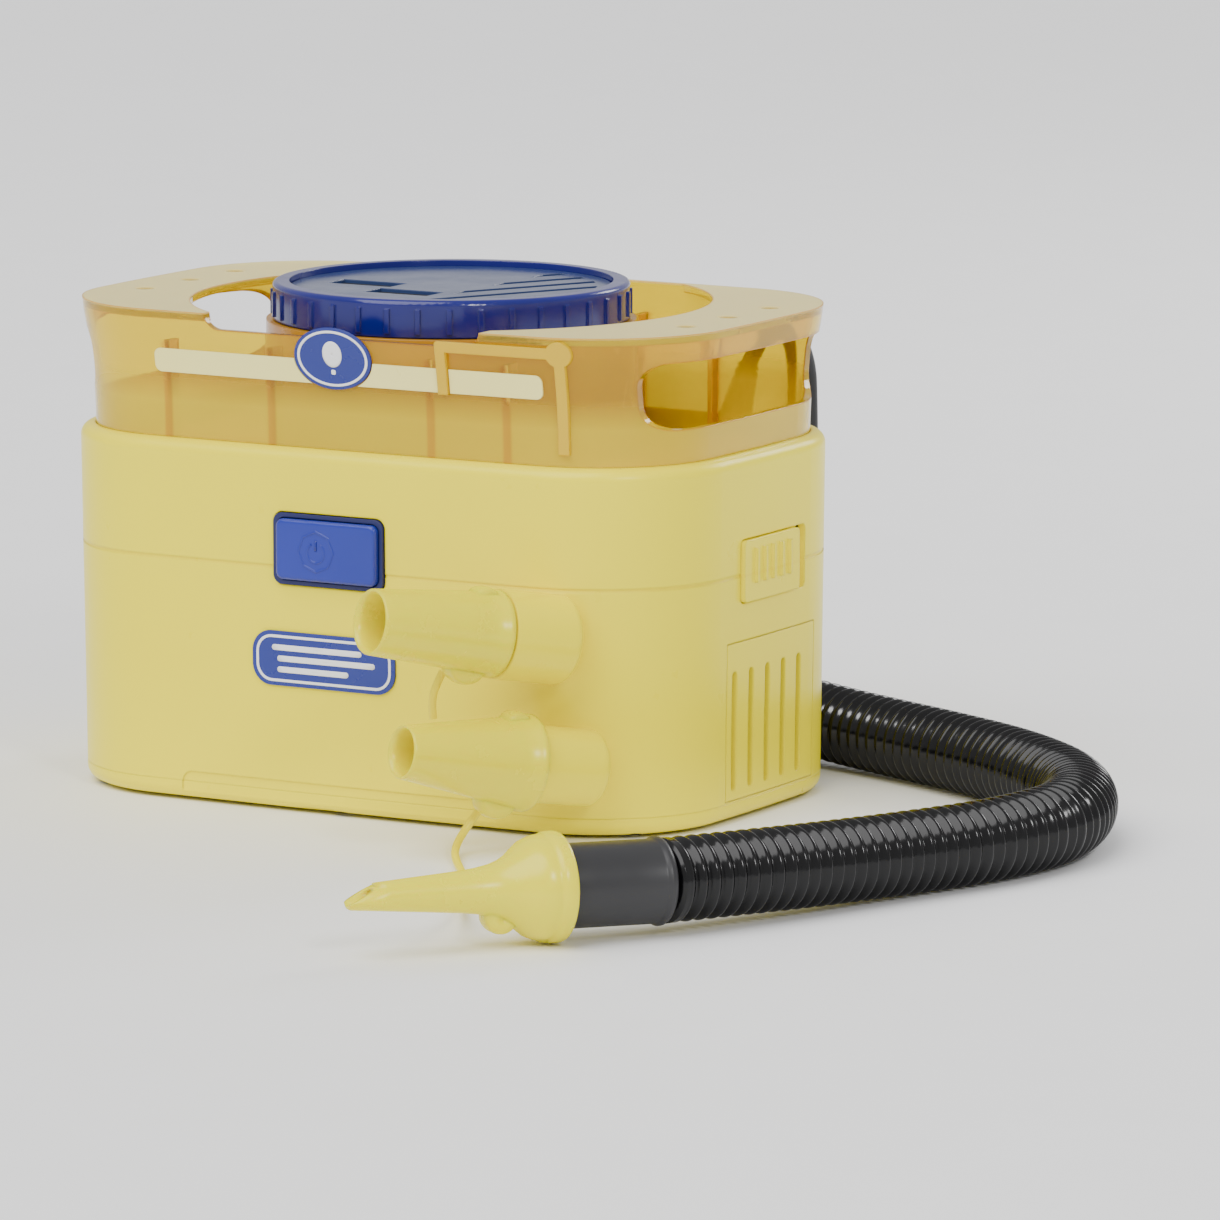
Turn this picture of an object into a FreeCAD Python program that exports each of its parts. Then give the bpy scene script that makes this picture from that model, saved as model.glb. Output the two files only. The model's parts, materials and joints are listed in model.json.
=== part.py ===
import FreeCAD
import Part
import math
import os

# Electric inflation pump for party balloons.
# Millimetres. Origin at the middle of the base on the table, +X to the right along the front,
# -Y out of the front, +Z up.

V = FreeCAD.Vector

# ---- driving dimensions ----
HALF_WIDTH = 118.9        # casing, middle of the ends
HALF_DEPTH = 75.3         # casing, middle of the front and back
CORNER_R = 46.0
SIDE_ARC_R = 3000.0       # slight bow of the front and back
END_ARC_R = 900.0         # slight bow of the ends
WALL = 2.6
DRAFT = 1.2               # the casing is this much narrower all round at its foot

TRAY_Z = 1.2              # underside of the base tray
SEAM_Z = 7.0              # tray meets casing
GROOVE_Z = 81.0           # fine line round the casing
DECK_Z = 110.0
DECK_T = 3.0
SHOULDER_Z = 120.0        # top of the casing
RIM_Z = 162.0             # top of the collar
COLLAR_WALL = 2.4
COLLAR_FOOT_INSET = 4.95
BADGE_Z = 150.2
RING_TOP_Z = 168.3
RING_R = 59.6
FIT = 0.05                # radial clearance of a running or sliding fit
GAP = 0.3                 # clearance between loose neighbours

# collar outline: height, inset from the casing's outline
COLLAR_PROFILE = [(113.2, COLLAR_FOOT_INSET), (126.0, 4.9), (138.0, 4.2), (148.0, 2.9),
                  (156.0, 1.5), (RIM_Z, 0.75)]

# fan and motor, on the vertical axis through the origin
SHAFT_R = 2.5
CAN_R = 22.0
CAN_Z0, CAN_Z1 = 14.0, 52.0
FAN_R = 38.0
HOUSING_R = 44.0
HOUSING_Z0, HOUSING_Z1 = 56.0, 84.0
PIPE_R = 15.0
TURRET_R = 61.0

# power button
BUTTON_X, BUTTON_Z = -1.7, 87.4
BUTTON_W, BUTTON_H = 38.0, 20.0
BUTTON_TRAVEL = 2.0
BUTTON_BACK_Y = -68.7     # rear face of the button's flange

# outlet elbow for the hose, on the back
PORT_X, PORT_Z = 38.0, 24.0
ELBOW_Y = 95.0
ELBOW_OUT = V(0.978, 0.0, -0.208).normalize()
SPIGOT_R = 12.0

# hose
HOSE_R = 13.1
CUFF_R = 12.95
CUFF_LENGTH = 34.3

# spare nozzles stand on two pegs that grow out of the front right corner and point forward,
# to the left and a little up; a root is the middle of a peg's rounded rear end
PEG_AXIS = V(-0.49, -0.857, 0.165).normalize()
LARGE_ROOT = V(84.0, -74.2, 65.3)
MEDIUM_ROOT = V(93.4, -70.9, 24.0)
PEG_LENGTH = 24.0
SPIGOT_LENGTH = 13.5
LARGE_PEG_R = 14.4
LARGE_SPIGOT_R = 10.6
MEDIUM_PEG_R = 12.4
MEDIUM_SPIGOT_R = 9.6
SPARE_LENGTH = 46.0

# cone nozzle on the hose's cuff
CONE_AXIS = V(-0.59, -0.807, 0.026).normalize()
CONE_BASE = V(166.2, -217.9, 17.25)
CONE_LENGTH = 68.6

# moulded ties between the nozzles
TIE_R = 1.3

# mains lead
LEAD_R = 3.0
GLAND = V(63.5, 72.4, 105.0)
GLAND_AXIS = V(0.0, 0.5, 0.866).normalize()
GLAND_SEAT_R = 6.65
COIL_CENTRE = (-24.0, 124.0)
COIL_MEAN_R = 33.0
COIL_PITCH = 6.2
PLUG_POS = V(-100.0, 134.0, 9.3)


# ---- helpers ----
def box(x0, x1, y0, y1, z0, z1):
    return Part.makeBox(x1 - x0, y1 - y0, z1 - z0, V(x0, y0, z0))


def rod(radius, z0, z1, x=0.0, y=0.0):
    return Part.makeCylinder(radius, z1 - z0, V(x, y, z0))


def pipe(outer, inner, z0, z1, x=0.0, y=0.0):
    return rod(outer, z0, z1, x, y).cut(rod(inner, z0 - 1, z1 + 1, x, y))


def rod_along(radius, start, axis, s0, s1):
    return Part.makeCylinder(radius, s1 - s0, start + axis * s0, axis)


def cone_along(r0, r1, start, axis, s0, s1):
    return Part.makeCone(r0, r1, s1 - s0, start + axis * s0, axis)


def fuse(shapes):
    return shapes[0].multiFuse(shapes[1:]).removeSplitter()


def rounded_box(x0, x1, y0, y1, z0, z1, radius, direction):
    """Box with the four edges along one direction rounded."""
    shape = box(x0, x1, y0, y1, z0, z1)
    edges = []
    for edge in shape.Edges:
        run = (edge.Vertexes[1].Point - edge.Vertexes[0].Point).normalize()
        if abs(run.dot(direction)) > 0.99:
            edges.append(edge)
    return shape.makeFillet(radius, edges)


def corner_centre():
    """Centre of the +X +Y corner arc, tangent to the long side's arc and the end's arc."""
    side_y = HALF_DEPTH - SIDE_ARC_R
    end_x = HALF_WIDTH - END_ARC_R
    reach_side = SIDE_ARC_R - CORNER_R
    reach_end = END_ARC_R - CORNER_R
    apart = math.hypot(end_x, side_y)
    along = (reach_side ** 2 - reach_end ** 2 + apart ** 2) / (2 * apart)
    off = math.sqrt(reach_side ** 2 - along ** 2)
    ux, uy = end_x / apart, -side_y / apart
    return V(along * ux + off * uy, side_y + along * uy - off * ux, 0)


CORNER = corner_centre()


def outline(inset, z):
    """The casing's plan outline, moved inward by inset, as eight tangent arcs at height z."""
    side_centre = V(0, HALF_DEPTH - SIDE_ARC_R, 0)
    end_centre = V(HALF_WIDTH - END_ARC_R, 0, 0)
    to_side = (CORNER - side_centre).normalize()
    to_end = (CORNER - end_centre).normalize()
    side = side_centre + to_side * (SIDE_ARC_R - inset)
    end = end_centre + to_end * (END_ARC_R - inset)
    middle = CORNER + (to_side + to_end).normalize() * (CORNER_R - inset)

    def at(point, sx, sy):
        return V(point.x * sx, point.y * sy, z)

    side_mid = V(0, HALF_DEPTH - inset, 0)
    end_mid = V(HALF_WIDTH - inset, 0, 0)
    arcs = [
        (at(end, 1, -1), at(end_mid, 1, 1), at(end, 1, 1)),
        (at(end, 1, 1), at(middle, 1, 1), at(side, 1, 1)),
        (at(side, 1, 1), at(side_mid, 1, 1), at(side, -1, 1)),
        (at(side, -1, 1), at(middle, -1, 1), at(end, -1, 1)),
        (at(end, -1, 1), at(end_mid, -1, 1), at(end, -1, -1)),
        (at(end, -1, -1), at(middle, -1, -1), at(side, -1, -1)),
        (at(side, -1, -1), at(side_mid, 1, -1), at(side, 1, -1)),
        (at(side, 1, -1), at(middle, 1, -1), at(end, 1, -1)),
    ]
    return Part.Wire([Part.Arc(*arc).toShape() for arc in arcs])


def slab(inset, z0, z1):
    return Part.Face(outline(inset, z0)).extrude(V(0, 0, z1 - z0))


def loft(levels, ruled=True):
    """Solid through outlines given as (height, inset)."""
    return Part.makeLoft([outline(inset, z) for z, inset in levels], True, ruled)


def corner_places(inset):
    """The four corner positions that lie inset inside the outline."""
    reach = (CORNER_R - inset) * math.sqrt(0.5)
    return [(sx * (CORNER.x + reach), sy * (CORNER.y + reach))
            for sx in (1, -1) for sy in (1, -1)]


def casing_levels(inset):
    return [(SEAM_Z, DRAFT + inset), (SHOULDER_Z - 6, inset)]


def collar_levels(inset):
    return [(z, base + inset) for z, base in COLLAR_PROFILE]


SCREW_PLACES = corner_places(7.0) + [(0.0, HALF_DEPTH - 7.0), (0.0, 7.0 - HALF_DEPTH)]
DECK_SCREW_PLACES = corner_places(12.0)
FOOT_PLACES = corner_places(19.0)


# ---- casing and base ----
def apron(levels):
    """Shallow recess at the foot of the front, 0.5 mm into the wall that levels give."""
    panel = rounded_box(-59.5, 59.5, -90, -60, -10, 10.4, 4.0, V(0, 1, 0))
    return panel.cut(loft([(z, inset + 0.5) for z, inset in levels]))


def base_tray():
    outer = loft([(TRAY_Z, DRAFT + 0.1), (SEAM_Z, DRAFT)])
    low_edges = [e for e in outer.Edges if e.BoundBox.ZMax < TRAY_Z + 0.01]
    outer = outer.makeFillet(4.2, low_edges)
    tray = outer.cut(slab(DRAFT + 2.6, TRAY_Z + 2.8, SEAM_Z + 1))
    lip = slab(DRAFT + 2.6 + 0.25, SEAM_Z - 4, SEAM_Z + 4).cut(
        slab(DRAFT + 4.6, SEAM_Z - 5, SEAM_Z + 5))
    step = slab(DRAFT + 2.0, SEAM_Z - 4.5, SEAM_Z).cut(slab(DRAFT + 4.6, SEAM_Z - 5, SEAM_Z + 1))
    inside_lip = slab(DRAFT + 2.85, 0, SEAM_Z + 5)
    columns = [rod(4.6, TRAY_Z + 1, SEAM_Z + 3.9, x, y).common(inside_lip) for x, y in SCREW_PLACES]
    standoffs = [rod(3.0, TRAY_Z + 1, 24.0, x, y) for x in (-98, -62) for y in (-26, 26)]
    tray = fuse([tray, lip, step] + columns + standoffs)
    for x, y in SCREW_PLACES:
        tray = tray.cut(rod(1.75, 0, SEAM_Z + 5, x, y))
        tray = tray.cut(rod(3.5, 0, TRAY_Z + 3.6, x, y))
    for x, y in FOOT_PLACES:
        tray = tray.cut(rod(8.0 + FIT, 0, TRAY_Z + 1.2, x, y))
    return tray.cut(apron([(-20, DRAFT), (SEAM_Z + 1, DRAFT)]))


def rubber_feet():
    feet = []
    for x, y in FOOT_PLACES:
        foot = rod(8.0, 0.0, TRAY_Z + 1.15, x, y)
        feet.append(foot.makeChamfer(0.6, [foot.Edges[2]]))
    return Part.makeCompound(feet)


def screws(places, head_z, head_h, head_r, tip_z, shank_r):
    """Pan-head screws, one solid each, with a cross slot in the head."""
    up = 1 if tip_z > head_z else -1
    solids = []
    for x, y in places:
        head = rod(head_r, min(head_z, head_z + up * head_h), max(head_z, head_z + up * head_h), x, y)
        shank = rod(shank_r, min(head_z + up * head_h, tip_z), max(head_z + up * head_h, tip_z), x, y)
        screw = head.fuse(shank)
        face_z = head_z + up * 0.5
        z0, z1 = min(head_z - up, face_z), max(head_z - up, face_z)
        for half_x, half_y in ((head_r * 0.6, 0.4), (0.4, head_r * 0.6)):
            screw = screw.cut(box(x - half_x, x + half_x, y - half_y, y + half_y, z0, z1))
        solids.append(screw)
    return Part.makeCompound(solids)


VENT_Y0, VENT_Y1 = -25.5, 34.0
VENT_Z0, VENT_Z1 = 7.6, 59.5
SLIDER_Y0, SLIDER_Y1 = -17.4, 26.6
SLIDER_Z0, SLIDER_Z1 = 71.6, 92.6
SLIDER_TRAVEL = 6.0


def casing_outer():
    body = fuse([loft(casing_levels(0.0)), slab(0.0, SHOULDER_Z - 6, SHOULDER_Z)])
    top_edges = [e for e in body.Edges if e.BoundBox.ZMin > SHOULDER_Z - 0.01]
    return body.makeFillet(4.0, top_edges)


def casing_cavity():
    neck = slab(COLLAR_FOOT_INSET - 0.15, SHOULDER_Z - 7, SHOULDER_Z + 1)
    return fuse([loft(casing_levels(WALL)), neck])


def peg(root, peg_r, spigot_r):
    """Storage peg with a rounded rear end, and the hollow spigot that a nozzle pushes onto."""
    body = rod_along(peg_r, root, PEG_AXIS, -1, PEG_LENGTH)
    rear = [e for e in body.Edges if (e.CenterOfMass - root).dot(PEG_AXIS) < 0 and e.Closed]
    body = body.makeFillet(3.0, rear)
    spigot = rod_along(spigot_r, root, PEG_AXIS, PEG_LENGTH - 2, PEG_LENGTH + SPIGOT_LENGTH)
    hollow = rod_along(spigot_r - 2.2, root, PEG_AXIS, PEG_LENGTH - 12, PEG_LENGTH + SPIGOT_LENGTH + 1)
    return body.fuse(spigot).cut(hollow)


def vent_cover(shell):
    """Grille in the right end: a piece of the wall with five upright slots."""
    panel = shell.common(box(100, 125, VENT_Y0 + GAP, VENT_Y1 - GAP, VENT_Z0 + GAP, VENT_Z1 - GAP))
    for i in range(5):
        y = -20.4 + 10.8 * i
        panel = panel.cut(rounded_box(100, 125, y - 1.6, y + 1.6, VENT_Z0 + 3.4, 50.0, 1.5, V(1, 0, 0)))
    frame = box(113.2, 114.0, VENT_Y0 - 3, VENT_Y1 + 1.5, VENT_Z0 + 5.4, VENT_Z1 + 3)
    frame = frame.cut(box(110, 120, VENT_Y0 + 4, VENT_Y1 - 4, VENT_Z0 + 8, VENT_Z1 - 4))
    ledge = [box(113.4, 116.6, y0, y0 + 3.0, VENT_Z0 + 8, VENT_Z1 - 4)
             for y0 in (VENT_Y0 + 1.0, VENT_Y1 - 4.0)]
    return fuse([panel, frame] + ledge)


def casing(shell):
    cavity = casing_cavity()
    pegs = [peg(LARGE_ROOT, LARGE_PEG_R, LARGE_SPIGOT_R), peg(MEDIUM_ROOT, MEDIUM_PEG_R, MEDIUM_SPIGOT_R)]
    body = fuse([shell] + [p.cut(cavity) for p in pegs])
    inner = loft(casing_levels(0.6))
    bosses = [rod(4.6, SEAM_Z + 4.1, 34, x, y) for x, y in SCREW_PLACES]
    posts = []
    for x, y in DECK_SCREW_PLACES:
        posts.append(rod(4.6, 88, DECK_Z - 0.1, x, y))
        web = box(0, 12, -1.4, 1.4, 90, DECK_Z - 0.1)
        web.rotate(V(0, 0, 0), V(0, 0, 1), math.degrees(math.atan2(math.copysign(1, y), math.copysign(1, x))))
        web.translate(V(x, y, 0))
        posts.append(web)
    body = fuse([body] + [b.common(inner) for b in bosses + posts])
    for x, y in SCREW_PLACES:
        body = body.cut(rod(1.5, SEAM_Z + 4, 30, x, y))
    for x, y in DECK_SCREW_PLACES:
        body = body.cut(rod(1.5, 92, DECK_Z + 1, x, y))
    band = slab(-3, GROOVE_Z - 0.5, GROOVE_Z + 0.5).cut(loft(casing_levels(0.3)))
    body = body.cut(band)
    body = body.cut(box(100, 125, VENT_Y0, VENT_Y1, VENT_Z0, VENT_Z1))
    body = body.cut(rounded_box(100, 125, SLIDER_Y0, SLIDER_Y1, SLIDER_Z0, SLIDER_Z1, 2.0, V(1, 0, 0)))
    half_w, half_h = BUTTON_W / 2 + 2.0, BUTTON_H / 2 + 2.0
    body = body.cut(rounded_box(BUTTON_X - half_w, BUTTON_X + half_w, -90, -60,
                                BUTTON_Z - half_h, BUTTON_Z + half_h, 3.4, V(0, 1, 0)))
    body = body.cut(rod_along(SPIGOT_R + 0.2, V(PORT_X, 60, PORT_Z), V(0, 1, 0), 0, 30))
    body = body.cut(rod_along(4.5, GLAND, GLAND_AXIS, -12, 14))
    body = body.cut(rod_along(GLAND_SEAT_R, GLAND, GLAND_AXIS, 3.95, 40))
    return body.cut(apron([(SEAM_Z - 1, DRAFT + 0.01), (SHOULDER_Z - 6, 0.0)]))


def side_slider():
    """Ribbed grip that slides along the right end, held by a flange behind the wall."""
    x_face = HALF_WIDTH + 0.9
    y0, y1 = SLIDER_Y0 + 0.4, SLIDER_Y1 - SLIDER_TRAVEL - 0.6
    z0, z1 = SLIDER_Z0 + 0.4, SLIDER_Z1 - 0.4
    pad = rounded_box(113.2, x_face, y0, y1, z0, z1, 1.6, V(1, 0, 0))
    flange = box(112.9, 114.6, y0 - 7, y1 + 7, z0 - 4, z1 + 4)
    ribs = [box(x_face - 0.1, x_face + 1.0, y - 0.7, y + 0.7, z0 + 6, z1 - 3)
            for y in [y0 + 7.4 + 5.6 * i for i in range(5)]]
    return fuse([pad, flange] + ribs)


def intake_filter():
    return box(109.0, 113.0, VENT_Y0 - 2, VENT_Y1 + 2, 14.5, 58)


def skin(solid_levels, thickness, cutter, ruled=True):
    """A thin plate that follows an outside wall: the wall moved outward, less the wall, in cutter."""
    thick = loft([(z, inset - thickness) for z, inset in solid_levels], ruled)
    bare = loft([(z, inset - 0.02) for z, inset in solid_levels], ruled)
    return thick.common(cutter).cut(bare)


def front_badge():
    cutter = rounded_box(-31.0, 23.0, -90, -60, 42.0, 60.0, 7.0, V(0, 1, 0))
    return skin(casing_levels(0.0), 0.7, cutter)


# ---- controls ----
def button_bezel():
    half_w, half_h = BUTTON_W / 2 + 1.7, BUTTON_H / 2 + 1.7
    outer = rounded_box(BUTTON_X - half_w, BUTTON_X + half_w, -75.9, -70.5,
                        BUTTON_Z - half_h, BUTTON_Z + half_h, 3.2, V(0, 1, 0))
    flange = rounded_box(BUTTON_X - half_w - 2.8, BUTTON_X + half_w + 2.8, -72.0, -70.5,
                         BUTTON_Z - half_h - 2.8, BUTTON_Z + half_h + 2.8, 3.2, V(0, 1, 0))
    hole = rounded_box(BUTTON_X - BUTTON_W / 2 - GAP, BUTTON_X + BUTTON_W / 2 + GAP, -80, -60,
                       BUTTON_Z - BUTTON_H / 2 - GAP, BUTTON_Z + BUTTON_H / 2 + GAP, 2.9, V(0, 1, 0))
    return outer.fuse(flange).cut(hole)


def power_button():
    cap = rounded_box(BUTTON_X - BUTTON_W / 2, BUTTON_X + BUTTON_W / 2, -77.9, -70.0,
                      BUTTON_Z - BUTTON_H / 2, BUTTON_Z + BUTTON_H / 2, 2.6, V(0, 1, 0))
    front = [e for e in cap.Edges if e.BoundBox.YMax < -77.85]
    cap = cap.makeFillet(1.3, front)
    flange = box(BUTTON_X - 21, BUTTON_X + 21, -70.1, BUTTON_BACK_Y, BUTTON_Z - 12, BUTTON_Z + 12)
    stem = rod_along(3.0, V(BUTTON_X, -69, BUTTON_Z), V(0, 1, 0), 0, 4.0)
    return fuse([cap, flange, stem])


def switch_module():
    front_y = BUTTON_BACK_Y + BUTTON_TRAVEL + GAP
    body = box(BUTTON_X - 15, BUTTON_X + 15, front_y, -46, BUTTON_Z - 9, BUTTON_Z + 9)
    bore = rod_along(3.25, V(BUTTON_X, -67, BUTTON_Z), V(0, 1, 0), 0, 7)
    tabs = [box(BUTTON_X + sx * 17 - 3, BUTTON_X + sx * 17 + 3, -52, -49.5, BUTTON_Z - 4, BUTTON_Z + 4)
            for sx in (1, -1)]
    pins = [box(BUTTON_X + x - 0.4, BUTTON_X + x + 0.4, -46.1, -40, BUTTON_Z - 2.4, BUTTON_Z + 2.4)
            for x in (-9, -3, 3, 9)]
    return fuse([body.cut(bore)] + tabs + pins)


# ---- deck, collar and manifold ----
def top_deck():
    deck = slab(WALL + 0.35, DECK_Z, DECK_Z + DECK_T)
    deck = deck.cut(rod(PIPE_R + 0.2, DECK_Z - 1, DECK_Z + 9))
    for x, y in DECK_SCREW_PLACES:
        deck = deck.cut(rod(1.75, DECK_Z - 1, DECK_Z + 9, x, y))
    return deck.cut(rod_along(GLAND_SEAT_R, GLAND, GLAND_AXIS, -4, 40))


def collar():
    shell = loft(collar_levels(0.0), False).cut(loft(
        [(COLLAR_PROFILE[0][0] - 1, COLLAR_FOOT_INSET + COLLAR_WALL)]
        + collar_levels(COLLAR_WALL)[1:-1] + [(RIM_Z + 1, COLLAR_PROFILE[-1][1] + COLLAR_WALL)], False))
    wings = slab(COLLAR_PROFILE[-1][1] + 1.4, RIM_Z - 2.6, RIM_Z).cut(rod(86, RIM_Z - 5, RIM_Z + 5))
    ribs = []
    for x in (-66.0, -26.0, 34.0, 62.0):
        for sy in (1, -1):
            ribs.append(box(x - 0.9, x + 0.9, min(sy * 63.8, sy * 74), max(sy * 63.8, sy * 74), 113.2, 152))
    inner = loft(collar_levels(0.8), False)
    shape = fuse([shell, wings] + [r.common(inner) for r in ribs])
    dip = rounded_box(-50, 54, -90, -60, 156.8, 175, 6, V(0, 1, 0))
    shape = shape.cut(dip)
    for sx in (1, -1):
        grip = rounded_box(min(sx * 103, sx * 130), max(sx * 103, sx * 130), -90, 90, 131, 153, 8, V(0, 1, 0))
        shape = shape.cut(grip)
        for y in (-26, 2, 30):
            dimple = Part.makeSphere(9, V(sx * 103, y, RIM_Z + 8.1))
            shape = shape.cut(dimple)
    return shape


def clip_shape():
    return fuse([
        rounded_box(38.0, 84.4, -90, -50, 155.0, 158.6, 1.2, V(0, 1, 0)),
        box(38.0, 41.6, -90, -50, 141.0, 157),
        box(81.0, 84.4, -90, -50, 124.0, 157),
        rod_along(4.2, V(82.6, -90, 156.6), V(0, 1, 0), 0, 40),
    ])


def collar_clip():
    """Raised hook on the collar's front: a top bar, one long and one short leg, and a pivot boss."""
    return skin(COLLAR_PROFILE, 1.5, clip_shape(), False)


def badge_cutter(margin):
    disc = Part.makeCylinder(1.0, 40, V(0, -95, 0), V(0, 1, 0))
    matrix = FreeCAD.Matrix()
    matrix.scale(14.4 + margin, 1.0, 10.2 + margin)
    disc = disc.transformGeometry(matrix)
    disc.translate(V(-1.0, 0, BADGE_Z))
    return disc


def collar_band():
    """Pale strip along the front, interrupted by the badge and by the hook's short leg."""
    strip = rounded_box(-70, 76, -90, -55, 141.5, 149.4, 2.5, V(0, 1, 0))
    gap = box(37.6, 42.0, -90, -50, 130, 170)
    return skin(COLLAR_PROFILE, 0.6, strip.cut(badge_cutter(0.4)).cut(gap), False)


def collar_badge():
    return skin(COLLAR_PROFILE, 0.8, badge_cutter(0.0), False)


def turret_base():
    cup = rod(TURRET_R, 113.2, 155.8).cut(rod(TURRET_R - 3, 116.4, 160))
    cup = cup.cut(rod(19.2, 110, 120))
    ribs = []
    for i in range(4):
        rib = box(36, TURRET_R - 2.5, -1.4, 1.4, 115, 146).fuse(box(36, 53, -1.4, 1.4, 145, 159.8))
        rib.rotate(V(0, 0, 0), V(0, 0, 1), 45 + 90 * i)
        ribs.append(rib)
    return fuse([cup] + ribs)


def manifold_ring():
    """Blue grip ring that turns on the turret; its skirt runs inside the turret's wall."""
    body = rod(RING_R - 0.7, 156.2, RING_TOP_Z)
    rim = [e for e in body.Edges if e.BoundBox.ZMin > RING_TOP_Z - 0.01]
    body = body.makeFillet(1.6, rim)
    skirt = rod(TURRET_R - 3 - 0.1, 148.0, 157.0)
    ring = body.fuse(skirt).cut(rod(54.6, 140, 156.2)).cut(rod(53.4, 150, 180))
    ribs = []
    for i in range(36):
        rib = box(RING_R - 2, RING_R, -0.9, 0.9, 157.2, 165.4)
        rib.rotate(V(0, 0, 0), V(0, 0, 1), 10 * i)
        ribs.append(rib)
    return fuse([ring] + ribs)


SOCKETS = [(-27.0, -9.0), (-4.0, -24.0)]
SOCKET_W, SOCKET_D = 24.0, 11.0


def socket_box(place, half_w, half_d, z0, z1):
    return box(place[0] - half_w, place[0] + half_w, place[1] - half_d, place[1] + half_d, z0, z1)


def socket_plate():
    plate = rod(53.0, 160.0, 166.4)
    for place in SOCKETS:
        plate = plate.cut(socket_box(place, SOCKET_W / 2, SOCKET_D / 2, 150, 180))
    zone = rod(48.0, 150, 180).cut(box(-60, 12, -60, 60, 140, 190))
    for i in range(8):
        slot = box(-60, 60, -1.9, 1.9, 163.6, 180)
        slot.translate(V(0, -42 + 12 * i, 0))
        slot.rotate(V(0, 0, 0), V(0, 0, 1), 62)
        plate = plate.cut(slot.common(zone))
    return plate


def socket_seals():
    seals = []
    for place in SOCKETS:
        outer = socket_box(place, SOCKET_W / 2 - FIT, SOCKET_D / 2 - FIT, 161, 165.2)
        seals.append(outer.cut(socket_box(place, SOCKET_W / 2 - 2, SOCKET_D / 2 - 2, 150, 180)))
    return Part.makeCompound(seals)


# ---- fan and motor ----
def motor_can():
    can = rod(CAN_R, CAN_Z0, CAN_Z1).cut(rod(CAN_R - 1.4, CAN_Z0 + 2, CAN_Z1 - 2))
    can = can.cut(rod(6.0, CAN_Z0 - 1, CAN_Z1 + 1))
    for i in range(4):
        vent = box(14, 30, -4, 4, CAN_Z0 + 26, CAN_Z0 + 31)
        vent.rotate(V(0, 0, 0), V(0, 0, 1), 90 * i)
        can = can.cut(vent)
    return can


def motor_bearings():
    low = pipe(6.0 - FIT, SHAFT_R + FIT, CAN_Z0 - 1.5, CAN_Z0 + 4)
    high = pipe(6.0 - FIT, SHAFT_R + FIT, CAN_Z1 - 4, CAN_Z1 + 1.5)
    return Part.makeCompound([low, high])


def motor_magnets():
    ring = pipe(CAN_R - 1.5, 14.6, CAN_Z0 + 4, CAN_Z0 + 24)
    halves = []
    for sx in (1, -1):
        halves.append(ring.common(box(min(sx * 1.5, sx * 30), max(sx * 1.5, sx * 30), -30, 30, 0, 90)))
    return Part.makeCompound(halves)


def rotor_shaft():
    return rod(SHAFT_R, CAN_Z0 - 3, 79.0)


def armature():
    core = rod(13.6, CAN_Z0 + 5, CAN_Z0 + 23)
    for i in range(8):
        slot = box(9, 20, -1.1, 1.1, 0, 90)
        slot.rotate(V(0, 0, 0), V(0, 0, 1), 45 * i)
        core = core.cut(slot)
    commutator = rod(5.5, CAN_Z0 + 26, CAN_Z0 + 32)
    return fuse([core, commutator, rod(4.0, CAN_Z0 + 5, CAN_Z0 + 32)]).cut(rod(SHAFT_R + 0.02, 0, 90))


def impeller():
    disc = rod(FAN_R, 62.0, 64.0)
    hub = rod(7.0, 62.0, 79.0)
    blades = []
    for i in range(9):
        outer = Part.makeCylinder(30, 12, V(6, 30, 63.5), V(0, 0, 1))
        inner = Part.makeCylinder(28.4, 12, V(6, 30, 63.5), V(0, 0, 1))
        blade = outer.cut(inner).common(box(0, 40, -5, 30, 60, 80)).common(rod(FAN_R - 0.5, 60, 80))
        blade.rotate(V(0, 0, 0), V(0, 0, 1), 40 * i)
        blades.append(blade)
    return fuse([disc, hub] + blades).cut(rod(SHAFT_R + 0.02, 50, 90))


DUCT_DIR = V(PORT_X, 50.0, 0).normalize()
DUCT_Z = 69.0


def fan_housing_lower():
    cup = rod(HOUSING_R, HOUSING_Z0, 80).cut(rod(HOUSING_R - 2.5, HOUSING_Z0 + 2.5, 90))
    cup = cup.cut(rod(7.0, 50, 60))
    for i in range(6):
        angle = math.radians(60 * i + 30)
        cup = cup.cut(rod(6.0, 50, 60, 20 * math.cos(angle), 20 * math.sin(angle)))
    spigot = rod_along(9.5, V(0, 0, DUCT_Z), DUCT_DIR, HOUSING_R - 2, HOUSING_R + 6)
    cup = cup.fuse(spigot)
    return cup.cut(rod_along(7.6, V(0, 0, DUCT_Z), DUCT_DIR, HOUSING_R - 6, HOUSING_R + 9))


def fan_housing_upper():
    lid = rod(HOUSING_R, 80.1, HOUSING_Z1)
    stem = rod(PIPE_R, 82, 117)
    lip = pipe(HOUSING_R - 2.7, HOUSING_R - 4.2, 77, 82)
    return fuse([lid, stem, lip]).cut(rod(PIPE_R - 2.4, 70, 130))


def outlet_gasket():
    return pipe(19.0, PIPE_R + FIT, 113.1, 116.2)


def motor_cradle():
    ring = pipe(27.0, CAN_R + FIT, 30, 38)
    parts = [ring]
    for i in range(4):
        angle = 90 * i
        leg = rod(4.0, 4.1, HOUSING_Z0 - 0.1, 33, 0)
        arm = box(25, 33, -1.8, 1.8, 30, 38)
        for piece in (leg, arm):
            piece.rotate(V(0, 0, 0), V(0, 0, 1), angle)
            parts.append(piece)
    pan = pipe(27.0, 8.0, 10.2, 12.4)
    for i in range(4):
        arm = box(25, 33, -1.8, 1.8, 10.2, 12.4)
        arm.rotate(V(0, 0, 0), V(0, 0, 1), 90 * i)
        parts.append(arm)
    return fuse(parts + [pan])


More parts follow.
